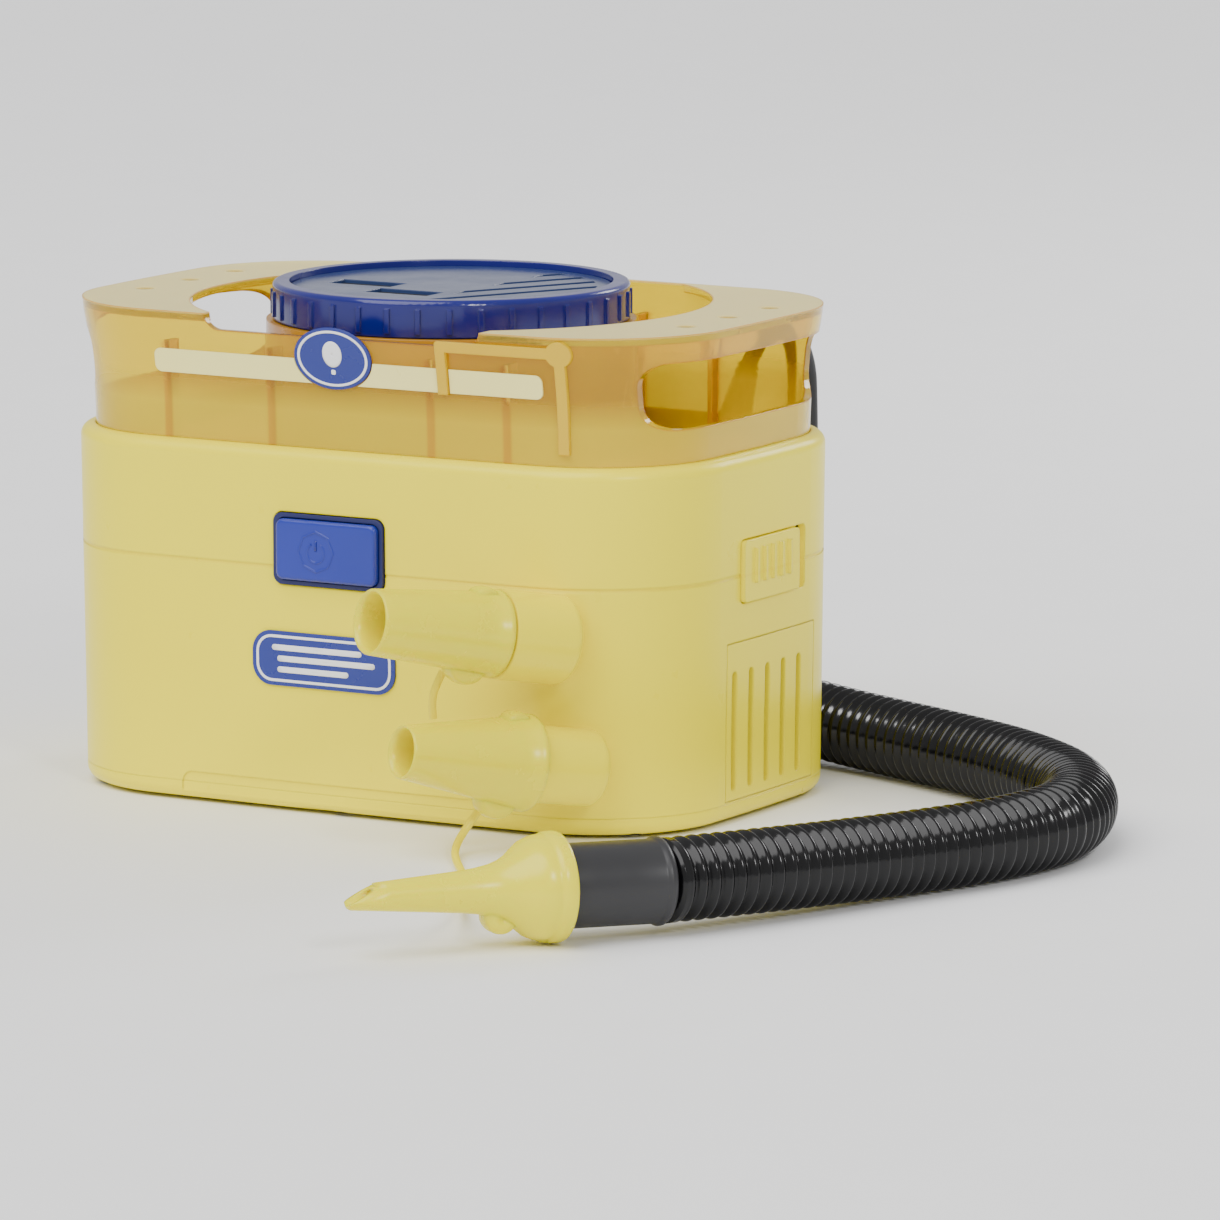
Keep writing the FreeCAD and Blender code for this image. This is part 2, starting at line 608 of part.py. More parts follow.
def bent_pipe(points, radius):
    """Straight pieces of round bar between points, with a ball at each bend."""
    parts = []
    for start, stop in zip(points, points[1:]):
        parts.append(rod_along(radius, start, (stop - start).normalize(), 0, (stop - start).Length))
    parts += [Part.makeSphere(radius, p) for p in points[1:-1]]
    return fuse(parts)


def hose_duct():
    high = V(PORT_X, 50, DUCT_Z)
    low = V(PORT_X, 50, PORT_Z)
    start = V(0, 0, DUCT_Z) + DUCT_DIR * (HOUSING_R + 6.1)
    outer = bent_pipe([start, high, low, V(PORT_X, 62, PORT_Z)], 9.5)
    socket = rod_along(SPIGOT_R + 2.0, V(PORT_X, 56, PORT_Z), V(0, 1, 0), 0, 13.0)
    inner = bent_pipe([start - DUCT_DIR, high, low, V(PORT_X, 63, PORT_Z)], 7.6)
    bore = rod_along(SPIGOT_R + FIT, V(PORT_X, 59, PORT_Z), V(0, 1, 0), 0, 14)
    return outer.fuse(socket).cut(inner).cut(bore)


def circuit_board():
    return box(-102, -58, -30, 30, 24.1, 25.7)


def board_parts():
    transformer = box(-96, -76, -20, 0, 25.7, 43)
    relay = box(-74, -62, -22, -6, 25.7, 37)
    caps = [rod(5.0, 25.7, 42, -90, 12), rod(5.0, 25.7, 42, -78, 14), rod(3.2, 25.7, 36, -66, 6)]
    terminal = box(-74, -60, 16, 27, 25.7, 34)
    return Part.makeCompound([transformer, relay, terminal] + caps)


# ---- hose and nozzles ----
def hose_elbow():
    """Outlet elbow on the back: it turns the air from straight out to along the back, towards +X."""
    y_axis = V(0, 1, 0)
    corner = V(PORT_X, ELBOW_Y, PORT_Z)
    parts = [
        rod_along(18.0, V(PORT_X, 75.5, PORT_Z), y_axis, 0, 3.0),
        rod_along(14.6, V(PORT_X, 77, PORT_Z), y_axis, 0, ELBOW_Y - 77),
        Part.makeSphere(14.6, corner),
        rod_along(14.6, corner, ELBOW_OUT, 0, 24),
        rod_along(15.6, corner, ELBOW_OUT, 20, 24),
        rod_along(SPIGOT_R, V(PORT_X, 61, PORT_Z), y_axis, 0, 16),
    ]
    inner = [
        rod_along(9.6, V(PORT_X, 60, PORT_Z), y_axis, 0, ELBOW_Y - 60),
        Part.makeSphere(9.6, corner),
        rod_along(9.6, corner, ELBOW_OUT, 0, 25),
    ]
    return fuse(parts).cut(fuse(inner))


def hose_cuff():
    """Smooth grey end of the hose that the nozzles push onto."""
    back = CONE_BASE - CONE_AXIS * CUFF_LENGTH
    body = rod_along(CUFF_R, back, CONE_AXIS, 0, CUFF_LENGTH + 10)
    stop = rod_along(CUFF_R + 0.9, back, CONE_AXIS, 0, 3)
    return body.fuse(stop).cut(rod_along(10.5, back, CONE_AXIS, 3, CUFF_LENGTH + 11))


def lug(root, axis, side, s, radius, size, width):
    """Round finger tab beside a nozzle's tube, its middle at distance s along and radius out."""
    across = axis.cross(side).normalize()
    middle = root + axis * s + side * radius
    return rod_along(size, middle - across * (width / 2), across, 0, width)


def side_of(axis):
    """Unit vector square to the axis, as near to straight down as it can be."""
    down = V(0, 0, -1)
    return (down - axis * down.dot(axis)).normalize()


def spare_nozzle(root, rim_r, tip_r, bore_r, spigot_r):
    """Tapered adapter: its wide end fits a peg's spigot or the hose's cuff, and air leaves its mouth."""
    s0 = PEG_LENGTH + 0.4
    tip = s0 + SPARE_LENGTH
    down = side_of(PEG_AXIS)
    shape = fuse([
        cone_along(rim_r, tip_r, root, PEG_AXIS, s0, tip),
        rod_along(rim_r + 0.7, root, PEG_AXIS, s0, s0 + 2.5),
        lug(root, PEG_AXIS, down, s0 + 9.6, rim_r - 3.6, 7.4, 8.0),
        lug(root, PEG_AXIS, down * -1, s0 + 6.2, rim_r - 3.6, 5.2, 8.0),
    ])
    shape = shape.cut(rod_along(spigot_r + FIT, root, PEG_AXIS, s0 - 1, s0 + SPIGOT_LENGTH))
    shape = shape.cut(cone_along(spigot_r, bore_r, root, PEG_AXIS, s0 + SPIGOT_LENGTH - 0.5, tip - 14))
    return shape.cut(rod_along(bore_r, root, PEG_AXIS, tip - 14.5, tip + 1))


def large_nozzle():
    return spare_nozzle(LARGE_ROOT, 13.4, 10.6, 9.0, LARGE_SPIGOT_R)


def medium_nozzle():
    return spare_nozzle(MEDIUM_ROOT, 15.0, 8.7, 7.2, MEDIUM_SPIGOT_R)


CONE_SOCKET = 10.4        # depth that the hose's cuff reaches into the cone nozzle


def cone_nozzle():
    """Slender inflation nozzle with a bell-shaped socket and a mouth cut at a slant."""
    root, axis = CONE_BASE, CONE_AXIS
    down = side_of(axis)
    profile = [(0.0, 16.2), (1.2, 16.9), (6.0, 16.9), (11.5, 14.8), (16.3, 10.6), (22.5, 7.9),
               (32.0, 6.4), (CONE_LENGTH, 3.6)]
    parts = [cone_along(r0, r1, root, axis, s0, s1)
             for (s0, r0), (s1, r1) in zip(profile, profile[1:]) if r0 != r1]
    parts.append(rod_along(16.9, root, axis, 1.2, 6.0))
    parts.append(lug(root, axis, down, 4.8, 11.3, 5.6, 8.0))
    parts.append(lug(root, axis, down, 19.5, 7.9, 5.6, 8.0))
    shape = fuse(parts)
    shape = shape.cut(rod_along(CUFF_R + FIT, root, axis, -1, CONE_SOCKET))
    shape = shape.cut(cone_along(11.6, 6.2, root, axis, CONE_SOCKET - 0.1, 20))
    shape = shape.cut(cone_along(6.2, 4.2, root, axis, 19.9, 32))
    shape = shape.cut(cone_along(4.2, 2.3, root, axis, 31.9, CONE_LENGTH - 12))
    shape = shape.cut(rod_along(2.3, root, axis, CONE_LENGTH - 13, CONE_LENGTH - 7))
    shape = shape.cut(cone_along(2.3, 2.7, root, axis, CONE_LENGTH - 7, CONE_LENGTH + 1))
    slant = box(0, 20, -10, 10, 0, 12)
    slant.rotate(V(0, 0, 0), V(0, 1, 0), 28)
    slant.rotate(V(0, 0, 0), V(0, 0, 1), math.degrees(math.atan2(axis.y, axis.x)))
    slant.translate(root + axis * (CONE_LENGTH - 9.0) + V(0, 0, 3.2))
    return shape.cut(slant)


# ---- hose, lead and plug ----
HOSE_ROUTE = [
    V(186.5, -190.2, 16.36),
    V(198.5, -166.0, 15.8),
    V(209.5, -136.0, 14.5),
    V(222.0, -101.0, 13.4),
    V(236.5, -64.0, 13.2),
    V(241.5, -24.0, 13.2),
    V(223.5, 19.0, 13.2),
    V(188.0, 50.5, 13.2),
    V(147.0, 71.5, 13.2),
    V(111.0, 86.0, 13.5),
    V(84.0, 94.6, 15.0),
    V(61.5, 95.0, 19.0),
]

LEAD_ROUTE = [
    V(63.5, 89.0, 133.8),
    V(63.5, 98.1, 142.4),
    V(63.5, 110.4, 144.7),
    V(63.6, 121.9, 139.9),
    V(63.8, 129.0, 129.6),
    V(64.0, 129.6, 117.1),
    V(64.0, 130.2, 95.0),
    V(63.4, 131.6, 60.0),
    V(61.6, 134.4, 31.0),
    V(56.0, 138.8, 13.4),
    V(45.0, 145.4, 5.0),
    V(28.0, 154.6, 3.3),
    V(4.0, 161.6, 3.2),
    V(-20.0, 163.4, 3.2),
]

TAIL_ROUTE = [
    V(-28.0, 163.3, 9.3),
    V(-50.0, 164.5, 6.6),
    V(-71.0, 161.0, 5.4),
    V(-87.0, 152.5, 6.8),
    V(-97.0, 139.7, 8.8),
    V(-100.0, 131.0, 9.3),
]


# the moulded ties that keep the nozzles together: large to medium, and medium to the cone nozzle
UPPER_TIE_ROUTE = [
    V(58.3, -104.2, 57.4),
    V(56.3, -105.9, 52.3),
    V(55.6, -106.8, 47.2),
    V(56.1, -106.6, 42.3),
]

LOWER_TIE_ROUTE = [
    V(69.4, -100.1, 13.4),
    V(66.4, -103.6, 7.6),
    V(66.6, -110.6, 2.9),
    V(74.0, -123.6, 1.6),
    V(92.0, -148.0, 1.6),
    V(108.0, -176.0, 1.6),
    V(121.0, -199.0, 2.8),
    V(131.0, -217.0, 7.0),
    V(137.6, -230.0, 12.4),
    V(142.4, -239.9, 17.4),
]


def route_wire(points, name):
    """Straight runs joined by tangent arcs, each as large as 0.45 of its shorter run allows."""
    edges = []
    start = points[0]
    radii = []
    for before, corner, after in zip(points, points[1:], points[2:]):
        run_in = (corner - before).normalize()
        run_out = (after - corner).normalize()
        half_turn = run_in.getAngle(run_out) / 2
        tangent = 0.45 * min((corner - before).Length, (after - corner).Length)
        radius = tangent / math.tan(half_turn)
        inward = (run_out - run_in).normalize()
        arc_start = corner - run_in * tangent
        arc_end = corner + run_out * tangent
        arc_mid = corner + inward * (radius / math.cos(half_turn) - radius)
        edges.append(Part.LineSegment(start, arc_start).toShape())
        edges.append(Part.Arc(arc_start, arc_mid, arc_end).toShape())
        start = arc_end
        radii.append(round(radius, 1))
    edges.append(Part.LineSegment(start, points[-1]).toShape())
    print(name, "radii", radii)
    return Part.Wire(edges)


def cord_tube(points, radius, name):
    path = route_wire(points, name)
    run = (points[1] - points[0]).normalize()
    circle = Part.Wire(Part.makeCircle(radius, points[0], run))
    tube = path.makePipeShell([circle], True, False)
    wanted = math.pi * radius ** 2 * path.Length
    print(name, "length", round(path.Length, 1), "volume / section x length",
          round(tube.Volume / wanted, 4), "valid", tube.isValid())
    return tube


def lead_gland():
    """Tapered strain relief, tilted up, with the flange that holds it in the casing's back wall."""
    body = cone_along(6.4, 4.0, GLAND, GLAND_AXIS, 4.0, 33.4)
    neck = rod_along(4.2, GLAND, GLAND_AXIS, -6, 5)
    plate = rod_along(6.6, GLAND, GLAND_AXIS, 6.0, 9.4)
    shape = fuse([body, neck, plate])
    shape = shape.cut(rod_along(LEAD_R + FIT, GLAND, GLAND_AXIS, 28, 40))
    return shape


def lead_coil():
    inner = COIL_MEAN_R - COIL_PITCH - LEAD_R
    outer = COIL_MEAN_R + COIL_PITCH + LEAD_R
    coil = rod(outer, 0.15, 12.4, *COIL_CENTRE)
    return coil.makeFillet(2.6, [coil.Edges[0], coil.Edges[2]]).cut(rod(inner, -1, 14, *COIL_CENTRE))


def lead_tie():
    inner = COIL_MEAN_R - COIL_PITCH - LEAD_R
    outer = COIL_MEAN_R + COIL_PITCH + LEAD_R
    band = box(inner - 1.4, outer + 1.4, -4, 4, 0.02, 13.6)
    band = band.cut(box(inner - 0.2, outer + 0.2, -5, 5, 1.0, 12.5))
    band.rotate(V(0, 0, 0), V(0, 0, 1), 250)
    band.translate(V(COIL_CENTRE[0], COIL_CENTRE[1], 0))
    return band


def plug_body():
    x, y, z = PLUG_POS
    body = rounded_box(x - 12, x + 12, y - 38, y - 6, z - 9, z + 8.4, 5.0, V(0, 1, 0))
    neck = cone_along(4.2, 6.0, V(x, y, z), V(0, -1, 0), 0, 10)
    shape = body.fuse(neck)
    return shape.cut(rod_along(LEAD_R + FIT, V(x, y + 1, z), V(0, -1, 0), 0, 4))


def plug_pins():
    x, y, z = PLUG_POS
    pins = []
    for sx in (1, -1):
        blade = box(x + sx * 6.35 - 0.75, x + sx * 6.35 + 0.75, y - 54.5, y - 38, z - 3.2, z + 3.2)
        pins.append(blade.cut(rod_along(1.5, V(x + sx * 6.35 - 3, y - 51.5, z), V(1, 0, 0), 0, 6)))
    return Part.makeCompound(pins)


# ---- export ----
def nodes():
    outer = casing_outer()
    shell = outer.cut(casing_cavity())
    yield "base_tray", base_tray()
    yield "rubber_feet", rubber_feet()
    yield "base_screws", screws(SCREW_PLACES, TRAY_Z + 1.2, 2.3, 3.2, 26.0, 1.45)
    yield "casing", casing(shell)
    yield "vent_cover", vent_cover(shell)
    yield "intake_filter", intake_filter()
    yield "side_slider", side_slider()
    yield "front_badge", front_badge()
    yield "button_bezel", button_bezel()
    yield "power_button", power_button()
    yield "switch_module", switch_module()
    yield "top_deck", top_deck()
    yield "deck_screws", screws(DECK_SCREW_PLACES, DECK_Z + DECK_T + 2.2, 2.1, 3.2, 94.0, 1.45)
    yield "collar", collar()
    yield "collar_clip", collar_clip()
    yield "collar_band", collar_band()
    yield "collar_badge", collar_badge()
    yield "turret_base", turret_base()
    yield "manifold_ring", manifold_ring()
    yield "socket_plate", socket_plate()
    yield "socket_seals", socket_seals()
    yield "motor_can", motor_can()
    yield "motor_bearings", motor_bearings()
    yield "motor_magnets", motor_magnets()
    yield "rotor_shaft", rotor_shaft()
    yield "armature", armature()
    yield "impeller", impeller()
    yield "fan_housing_lower", fan_housing_lower()
    yield "fan_housing_upper", fan_housing_upper()
    yield "outlet_gasket", outlet_gasket()
    yield "motor_cradle", motor_cradle()
    yield "hose_duct", hose_duct()
    yield "circuit_board", circuit_board()
    yield "board_parts", board_parts()
    yield "hose_elbow", hose_elbow()
    yield "hose_cuff", hose_cuff()
    yield "large_nozzle", large_nozzle()
    yield "medium_nozzle", medium_nozzle()
    yield "cone_nozzle", cone_nozzle()
    yield "upper_strap", cord_tube(UPPER_TIE_ROUTE, TIE_R, "upper strap")
    yield "lower_strap", cord_tube(LOWER_TIE_ROUTE, TIE_R, "lower strap")
    yield "hose", cord_tube(HOSE_ROUTE, HOSE_R, "hose")
    yield "lead_gland", lead_gland()
    yield "lead", cord_tube(LEAD_ROUTE, LEAD_R, "lead")
    yield "lead_coil", lead_coil()
    yield "lead_tie", lead_tie()
    yield "lead_tail", cord_tube(TAIL_ROUTE, LEAD_R, "lead tail")
    yield "plug_body", plug_body()
    yield "plug_pins", plug_pins()


os.makedirs("parts", exist_ok=True)
for node, shape in nodes():
    print(node, "solids", len(shape.Solids), "volume", round(shape.Volume), "valid", shape.isValid())
    shape.exportStep(f"parts/{node}.step")
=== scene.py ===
import json
import math

import bmesh
import bpy
import numpy as np
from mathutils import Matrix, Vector
from mathutils.bvhtree import BVHTree


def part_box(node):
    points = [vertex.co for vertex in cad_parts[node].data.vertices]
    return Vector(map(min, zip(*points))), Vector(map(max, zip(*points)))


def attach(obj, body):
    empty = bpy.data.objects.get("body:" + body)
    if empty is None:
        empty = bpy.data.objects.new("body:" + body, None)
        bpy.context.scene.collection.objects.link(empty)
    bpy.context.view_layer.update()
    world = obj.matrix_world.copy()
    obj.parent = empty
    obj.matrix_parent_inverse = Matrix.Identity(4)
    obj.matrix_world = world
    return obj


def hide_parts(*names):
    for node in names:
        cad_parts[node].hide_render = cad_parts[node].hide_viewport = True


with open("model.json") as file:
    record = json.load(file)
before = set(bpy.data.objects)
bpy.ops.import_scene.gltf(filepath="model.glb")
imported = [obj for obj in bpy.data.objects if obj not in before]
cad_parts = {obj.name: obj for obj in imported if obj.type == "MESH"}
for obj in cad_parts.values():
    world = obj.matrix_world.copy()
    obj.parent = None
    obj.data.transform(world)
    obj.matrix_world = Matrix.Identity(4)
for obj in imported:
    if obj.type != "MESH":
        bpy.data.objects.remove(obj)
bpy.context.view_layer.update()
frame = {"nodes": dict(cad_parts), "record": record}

NODES = frame["nodes"]
SCENE = bpy.context.scene


def mm(x, y, z):
    return Vector((x, y, z)) / 1000.0


# ---------------------------------------------------------------- camera
VIEW_FROM = mm(1437.3, -2420.4, 507.2)
VIEW_TO = mm(88.5, -50.0, 72.0)
LENS, SENSOR = 254.0, 36.0    # millimetres, as Blender wants them
FAR_CLIP = 30.0

camera = bpy.data.objects.new("camera", bpy.data.cameras.new("camera"))
SCENE.collection.objects.link(camera)
camera.location = VIEW_FROM
camera.rotation_euler = (VIEW_TO - VIEW_FROM).to_track_quat("-Z", "Y").to_euler()
camera.data.sensor_width = SENSOR
camera.data.lens = LENS
camera.data.clip_end = FAR_CLIP
SCENE.camera = camera


# ---------------------------------------------------------------- cords: routes in metres
HOSE_ROUTE = [mm(*p) for p in (
    (186.5, -190.2, 16.36), (198.5, -166.0, 15.8), (209.5, -136.0, 14.5), (222.0, -101.0, 13.4),
    (236.5, -64.0, 13.2), (241.5, -24.0, 13.2), (223.5, 19.0, 13.2), (188.0, 50.5, 13.2),
    (147.0, 71.5, 13.2), (111.0, 86.0, 13.5), (84.0, 94.6, 15.0), (61.5, 95.0, 19.0))]

LEAD_ROUTE = [mm(*p) for p in (
    (63.5, 89.0, 133.8), (63.5, 98.1, 142.4), (63.5, 110.4, 144.7), (63.6, 121.9, 139.9),
    (63.8, 129.0, 129.6), (64.0, 129.6, 117.1), (64.0, 130.2, 95.0), (63.4, 131.6, 60.0),
    (61.6, 134.4, 31.0), (56.0, 138.8, 13.4), (45.0, 145.4, 5.0), (28.0, 154.6, 3.3),
    (4.0, 161.6, 3.2))]

TAIL_ROUTE = [mm(*p) for p in (
    (-50.0, 164.5, 6.6), (-71.0, 161.0, 5.4), (-87.0, 152.5, 6.8), (-97.0, 139.7, 8.8),
    (-100.0, 131.0, 9.3))]

LOWER_TIE_ROUTE = [mm(*p) for p in (
    (69.4, -100.1, 13.4), (66.4, -103.6, 7.6), (66.6, -110.6, 2.9), (74.0, -123.6, 1.6),
    (92.0, -148.0, 1.6), (108.0, -176.0, 1.6), (121.0, -199.0, 2.8), (131.0, -217.0, 7.0),
    (137.6, -230.0, 12.4), (142.4, -239.9, 17.4))]

UPPER_TIE_ROUTE = [mm(*p) for p in (
    (58.3, -104.2, 57.4), (56.3, -105.9, 52.3), (55.6, -106.8, 47.2), (56.1, -106.6, 42.3))]

HOSE_R, HOSE_PITCH = 0.0131, 0.00475
LEAD_R, TIE_R = 0.003, 0.0013
COIL_CENTRE = mm(-24.0, 124.0, 0.0)
COIL_RADII = (0.0392, 0.0330, 0.0268)
COIL_LOW, COIL_HIGH = 0.0031, 0.0093
TURN_POINTS = 16


def ease(t):
    """Smooth step from 0 to 1."""
    t = min(max(t, 0.0), 1.0)
    return t * t * (3 - 2 * t)


def coil_points():
    """Six turns: three inward on the surface, three outward on top of them."""
    outer, middle, inner = COIL_RADII
    shift = 1 / 6    # the part of a turn in which the cord moves over to the next ring
    swell = 1 / math.cos(math.pi / TURN_POINTS) ** 0.9    # a NURBS curve runs inside its control points
    points = []
    for i in range(1, 6 * TURN_POINTS):
        turn = i / TURN_POINTS
        radius = outer
        radius += (middle - outer) * ease((turn - 1) / shift)
        radius += (inner - middle) * ease((turn - 2) / shift)
        radius += (middle - inner) * ease((turn - 4 + 2 * shift) / shift)
        radius += (outer - middle) * ease((turn - 5 + 2 * shift) / shift)
        height = COIL_LOW + (COIL_HIGH - COIL_LOW) * ease((turn - 3 + shift) / shift)
        angle = math.pi / 2 + 2 * math.pi * turn
        points.append(COIL_CENTRE + Vector((radius * swell * math.cos(angle),
                                            radius * swell * math.sin(angle), height)))
    return points


def spline_object(name, points, radius=0.0):
    """One open NURBS spline with the route's points as its control points."""
    data = bpy.data.curves.new(name, "CURVE")
    data.dimensions = "3D"
    data.resolution_u = 12
    data.bevel_depth = radius
    data.bevel_resolution = 6
    data.use_fill_caps = True
    spline = data.splines.new("NURBS")
    spline.points.add(len(points) - 1)
    for slot, point in zip(spline.points, points):
        slot.co = (*point, 1.0)
    spline.order_u = 3
    spline.use_endpoint_u = True
    obj = bpy.data.objects.new(name, data)
    SCENE.collection.objects.link(obj)
    return obj


def spline_line(name, points):
    """The points that a NURBS spline through the route passes, in order."""
    guide = spline_object(name, points)
    guide.data.use_fill_caps = False
    bpy.context.view_layer.update()
    mesh = bpy.data.meshes.new_from_object(guide)
    line = [vertex.co.copy() for vertex in mesh.vertices]
    bpy.data.objects.remove(guide)
    bpy.data.meshes.remove(mesh)
    return line


def resample(line, count):
    """Points evenly spaced along a line, and its length."""
    pts = np.array(line)
    gone = np.concatenate([[0.0], np.cumsum(np.linalg.norm(np.diff(pts, axis=0), axis=1))])
    at = np.linspace(0.0, gone[-1], count)
    even = np.stack([np.interp(at, gone, pts[:, k]) for k in range(3)], axis=1)
    return even, gone[-1]


# ---------------------------------------------------------------- mesh helpers
def new_object(name, verts, faces, smooth=True):
    mesh = bpy.data.meshes.new(name)
    mesh.from_pydata([tuple(v) for v in verts], [], faces)
    mesh.validate()
    mesh.update()
    if smooth:
        mesh.shade_smooth()
    obj = bpy.data.objects.new(name, mesh)
    SCENE.collection.objects.link(obj)
    return obj


def axes_of(axis):
    """The axis as a unit vector, and two more square to it."""
    axis = Vector(axis).normalized()
    across = axis.cross(Vector((0, 0, 1)))
    across = across.normalized() if across.length > 1e-6 else Vector((1, 0, 0))
    return axis, across, axis.cross(across).normalized()


def strip(faces, first, second, count):
    """Adds the faces between two closed rings of count points, which start at first and at second."""
    for k in range(count):
        n = (k + 1) % count
        faces.append((first + k, first + n, second + n, second + k))


def lathe(name, root, axis, profile, steps=96):
    """Solid of revolution: profile is a closed loop of (distance along axis, radius)."""
    axis, across, up = axes_of(axis)
    verts, faces = [], []
    for s, r in profile:
        for k in range(steps):
            a = 2 * math.pi * k / steps
            verts.append(root + axis * s + across * (r * math.cos(a)) + up * (r * math.sin(a)))
    rings = len(profile)
    for i in range(rings):
        strip(faces, i * steps, (i + 1) % rings * steps, steps)
    obj = new_object(name, verts, faces)
    outward(obj)
    return obj


def outward(obj):
    """Turns every face outward and shades the object smooth."""
    bm = bmesh.new()
    bm.from_mesh(obj.data)
    bmesh.ops.recalc_face_normals(bm, faces=bm.faces)
    bm.to_mesh(obj.data)
    bm.free()
    obj.data.shade_smooth()


def tube(name, line, radius_at, around, count):
    """A tube along a line whose radius may change with distance, closed at both ends."""
    even, length = resample(line, count)
    tangents = np.gradient(even, axis=0)
    tangents /= np.linalg.norm(tangents, axis=1)[:, None]
    side = np.cross(tangents[0], (0, 0, 1.0))
    side /= np.linalg.norm(side)
    angles = np.linspace(0, 2 * math.pi, around, endpoint=False)
    verts, faces = [], []
    for i in range(count):
        side = side - tangents[i] * np.dot(side, tangents[i])
        side /= np.linalg.norm(side)
        up = np.cross(tangents[i], side)
        radius = radius_at(length * i / (count - 1), length)
        verts.extend(even[i] + radius * (math.cos(a) * side + math.sin(a) * up) for a in angles)
    for i in range(count - 1):
        strip(faces, i * around, (i + 1) * around, around)
    faces.append(tuple(range(around)))
    faces.append(tuple((count - 1) * around + k for k in range(around)))
    obj = new_object(name, verts, faces)
    outward(obj)
    return obj, even


def rounded_plate(name, centre, across, up, width, height, corner, depth, edge):
    """Rounded rectangle that stands depth proud along across x up, with a soft edge."""
    out = across.cross(up)
    outline = []
    for sx, sy, start in ((1, 1, 0), (-1, 1, 90), (-1, -1, 180), (1, -1, 270)):
        for k in range(9):
            a = math.radians(start + 90 * k / 8)
            outline.append((sx * (width / 2 - corner), sy * (height / 2 - corner),
                            math.cos(a), math.sin(a)))
    levels = [(0.0, 0.0)]
    for k in range(7):
        a = math.radians(15 * k)
        levels.append((depth - edge + edge * math.sin(a), edge * (1 - math.cos(a))))
    verts, faces = [], []
    for rise, inset in levels:
        r = corner - inset
        for cx, cy, dx, dy in outline:
            verts.append(centre + across * (cx + r * dx) + up * (cy + r * dy) + out * rise)
    count = len(outline)
    top = centre + out * levels[-1][0]
    rim = verts[-count:]
    for shrink in (0.75, 0.4):
        verts.extend(top + (point - top) * shrink for point in rim)
    for base in range(count, len(verts), count):
        strip(faces, base - count, base, count)
    faces.append(tuple(range(len(verts) - count, len(verts))))
    faces.append(tuple(reversed(range(count))))
    obj = new_object(name, verts, faces)
    outward(obj)
    return obj


def join(objects, name):
    """One object out of several, with all modifiers already applied."""
    bm = bmesh.new()
    for obj in objects:
        mesh = obj.data.copy()
        mesh.transform(obj.matrix_world)
        bm.from_mesh(mesh)
        bpy.data.meshes.remove(mesh)
        bpy.data.objects.remove(obj)
    mesh = bpy.data.meshes.new(name)
    bm.to_mesh(mesh)
    bm.free()
    obj = bpy.data.objects.new(name, mesh)
    SCENE.collection.objects.link(obj)
    return obj


def apply_modifiers(obj):
    """Makes the modified mesh the object's own."""
    depsgraph = bpy.context.evaluated_depsgraph_get()
    mesh = bpy.data.meshes.new_from_object(obj.evaluated_get(depsgraph))
    obj.modifiers.clear()
    obj.data = mesh
    obj.data.shade_smooth()


def cut_with(obj, cutter, keep=False):
    """Takes the cutter's volume out of an object; the cutter goes too unless it is kept."""
    boolean = obj.modifiers.new("cut", "BOOLEAN")
    boolean.operation = "DIFFERENCE"
    boolean.solver = "EXACT"
    boolean.object = cutter
    apply_modifiers(obj)
    if not keep:
        bpy.data.objects.remove(cutter)


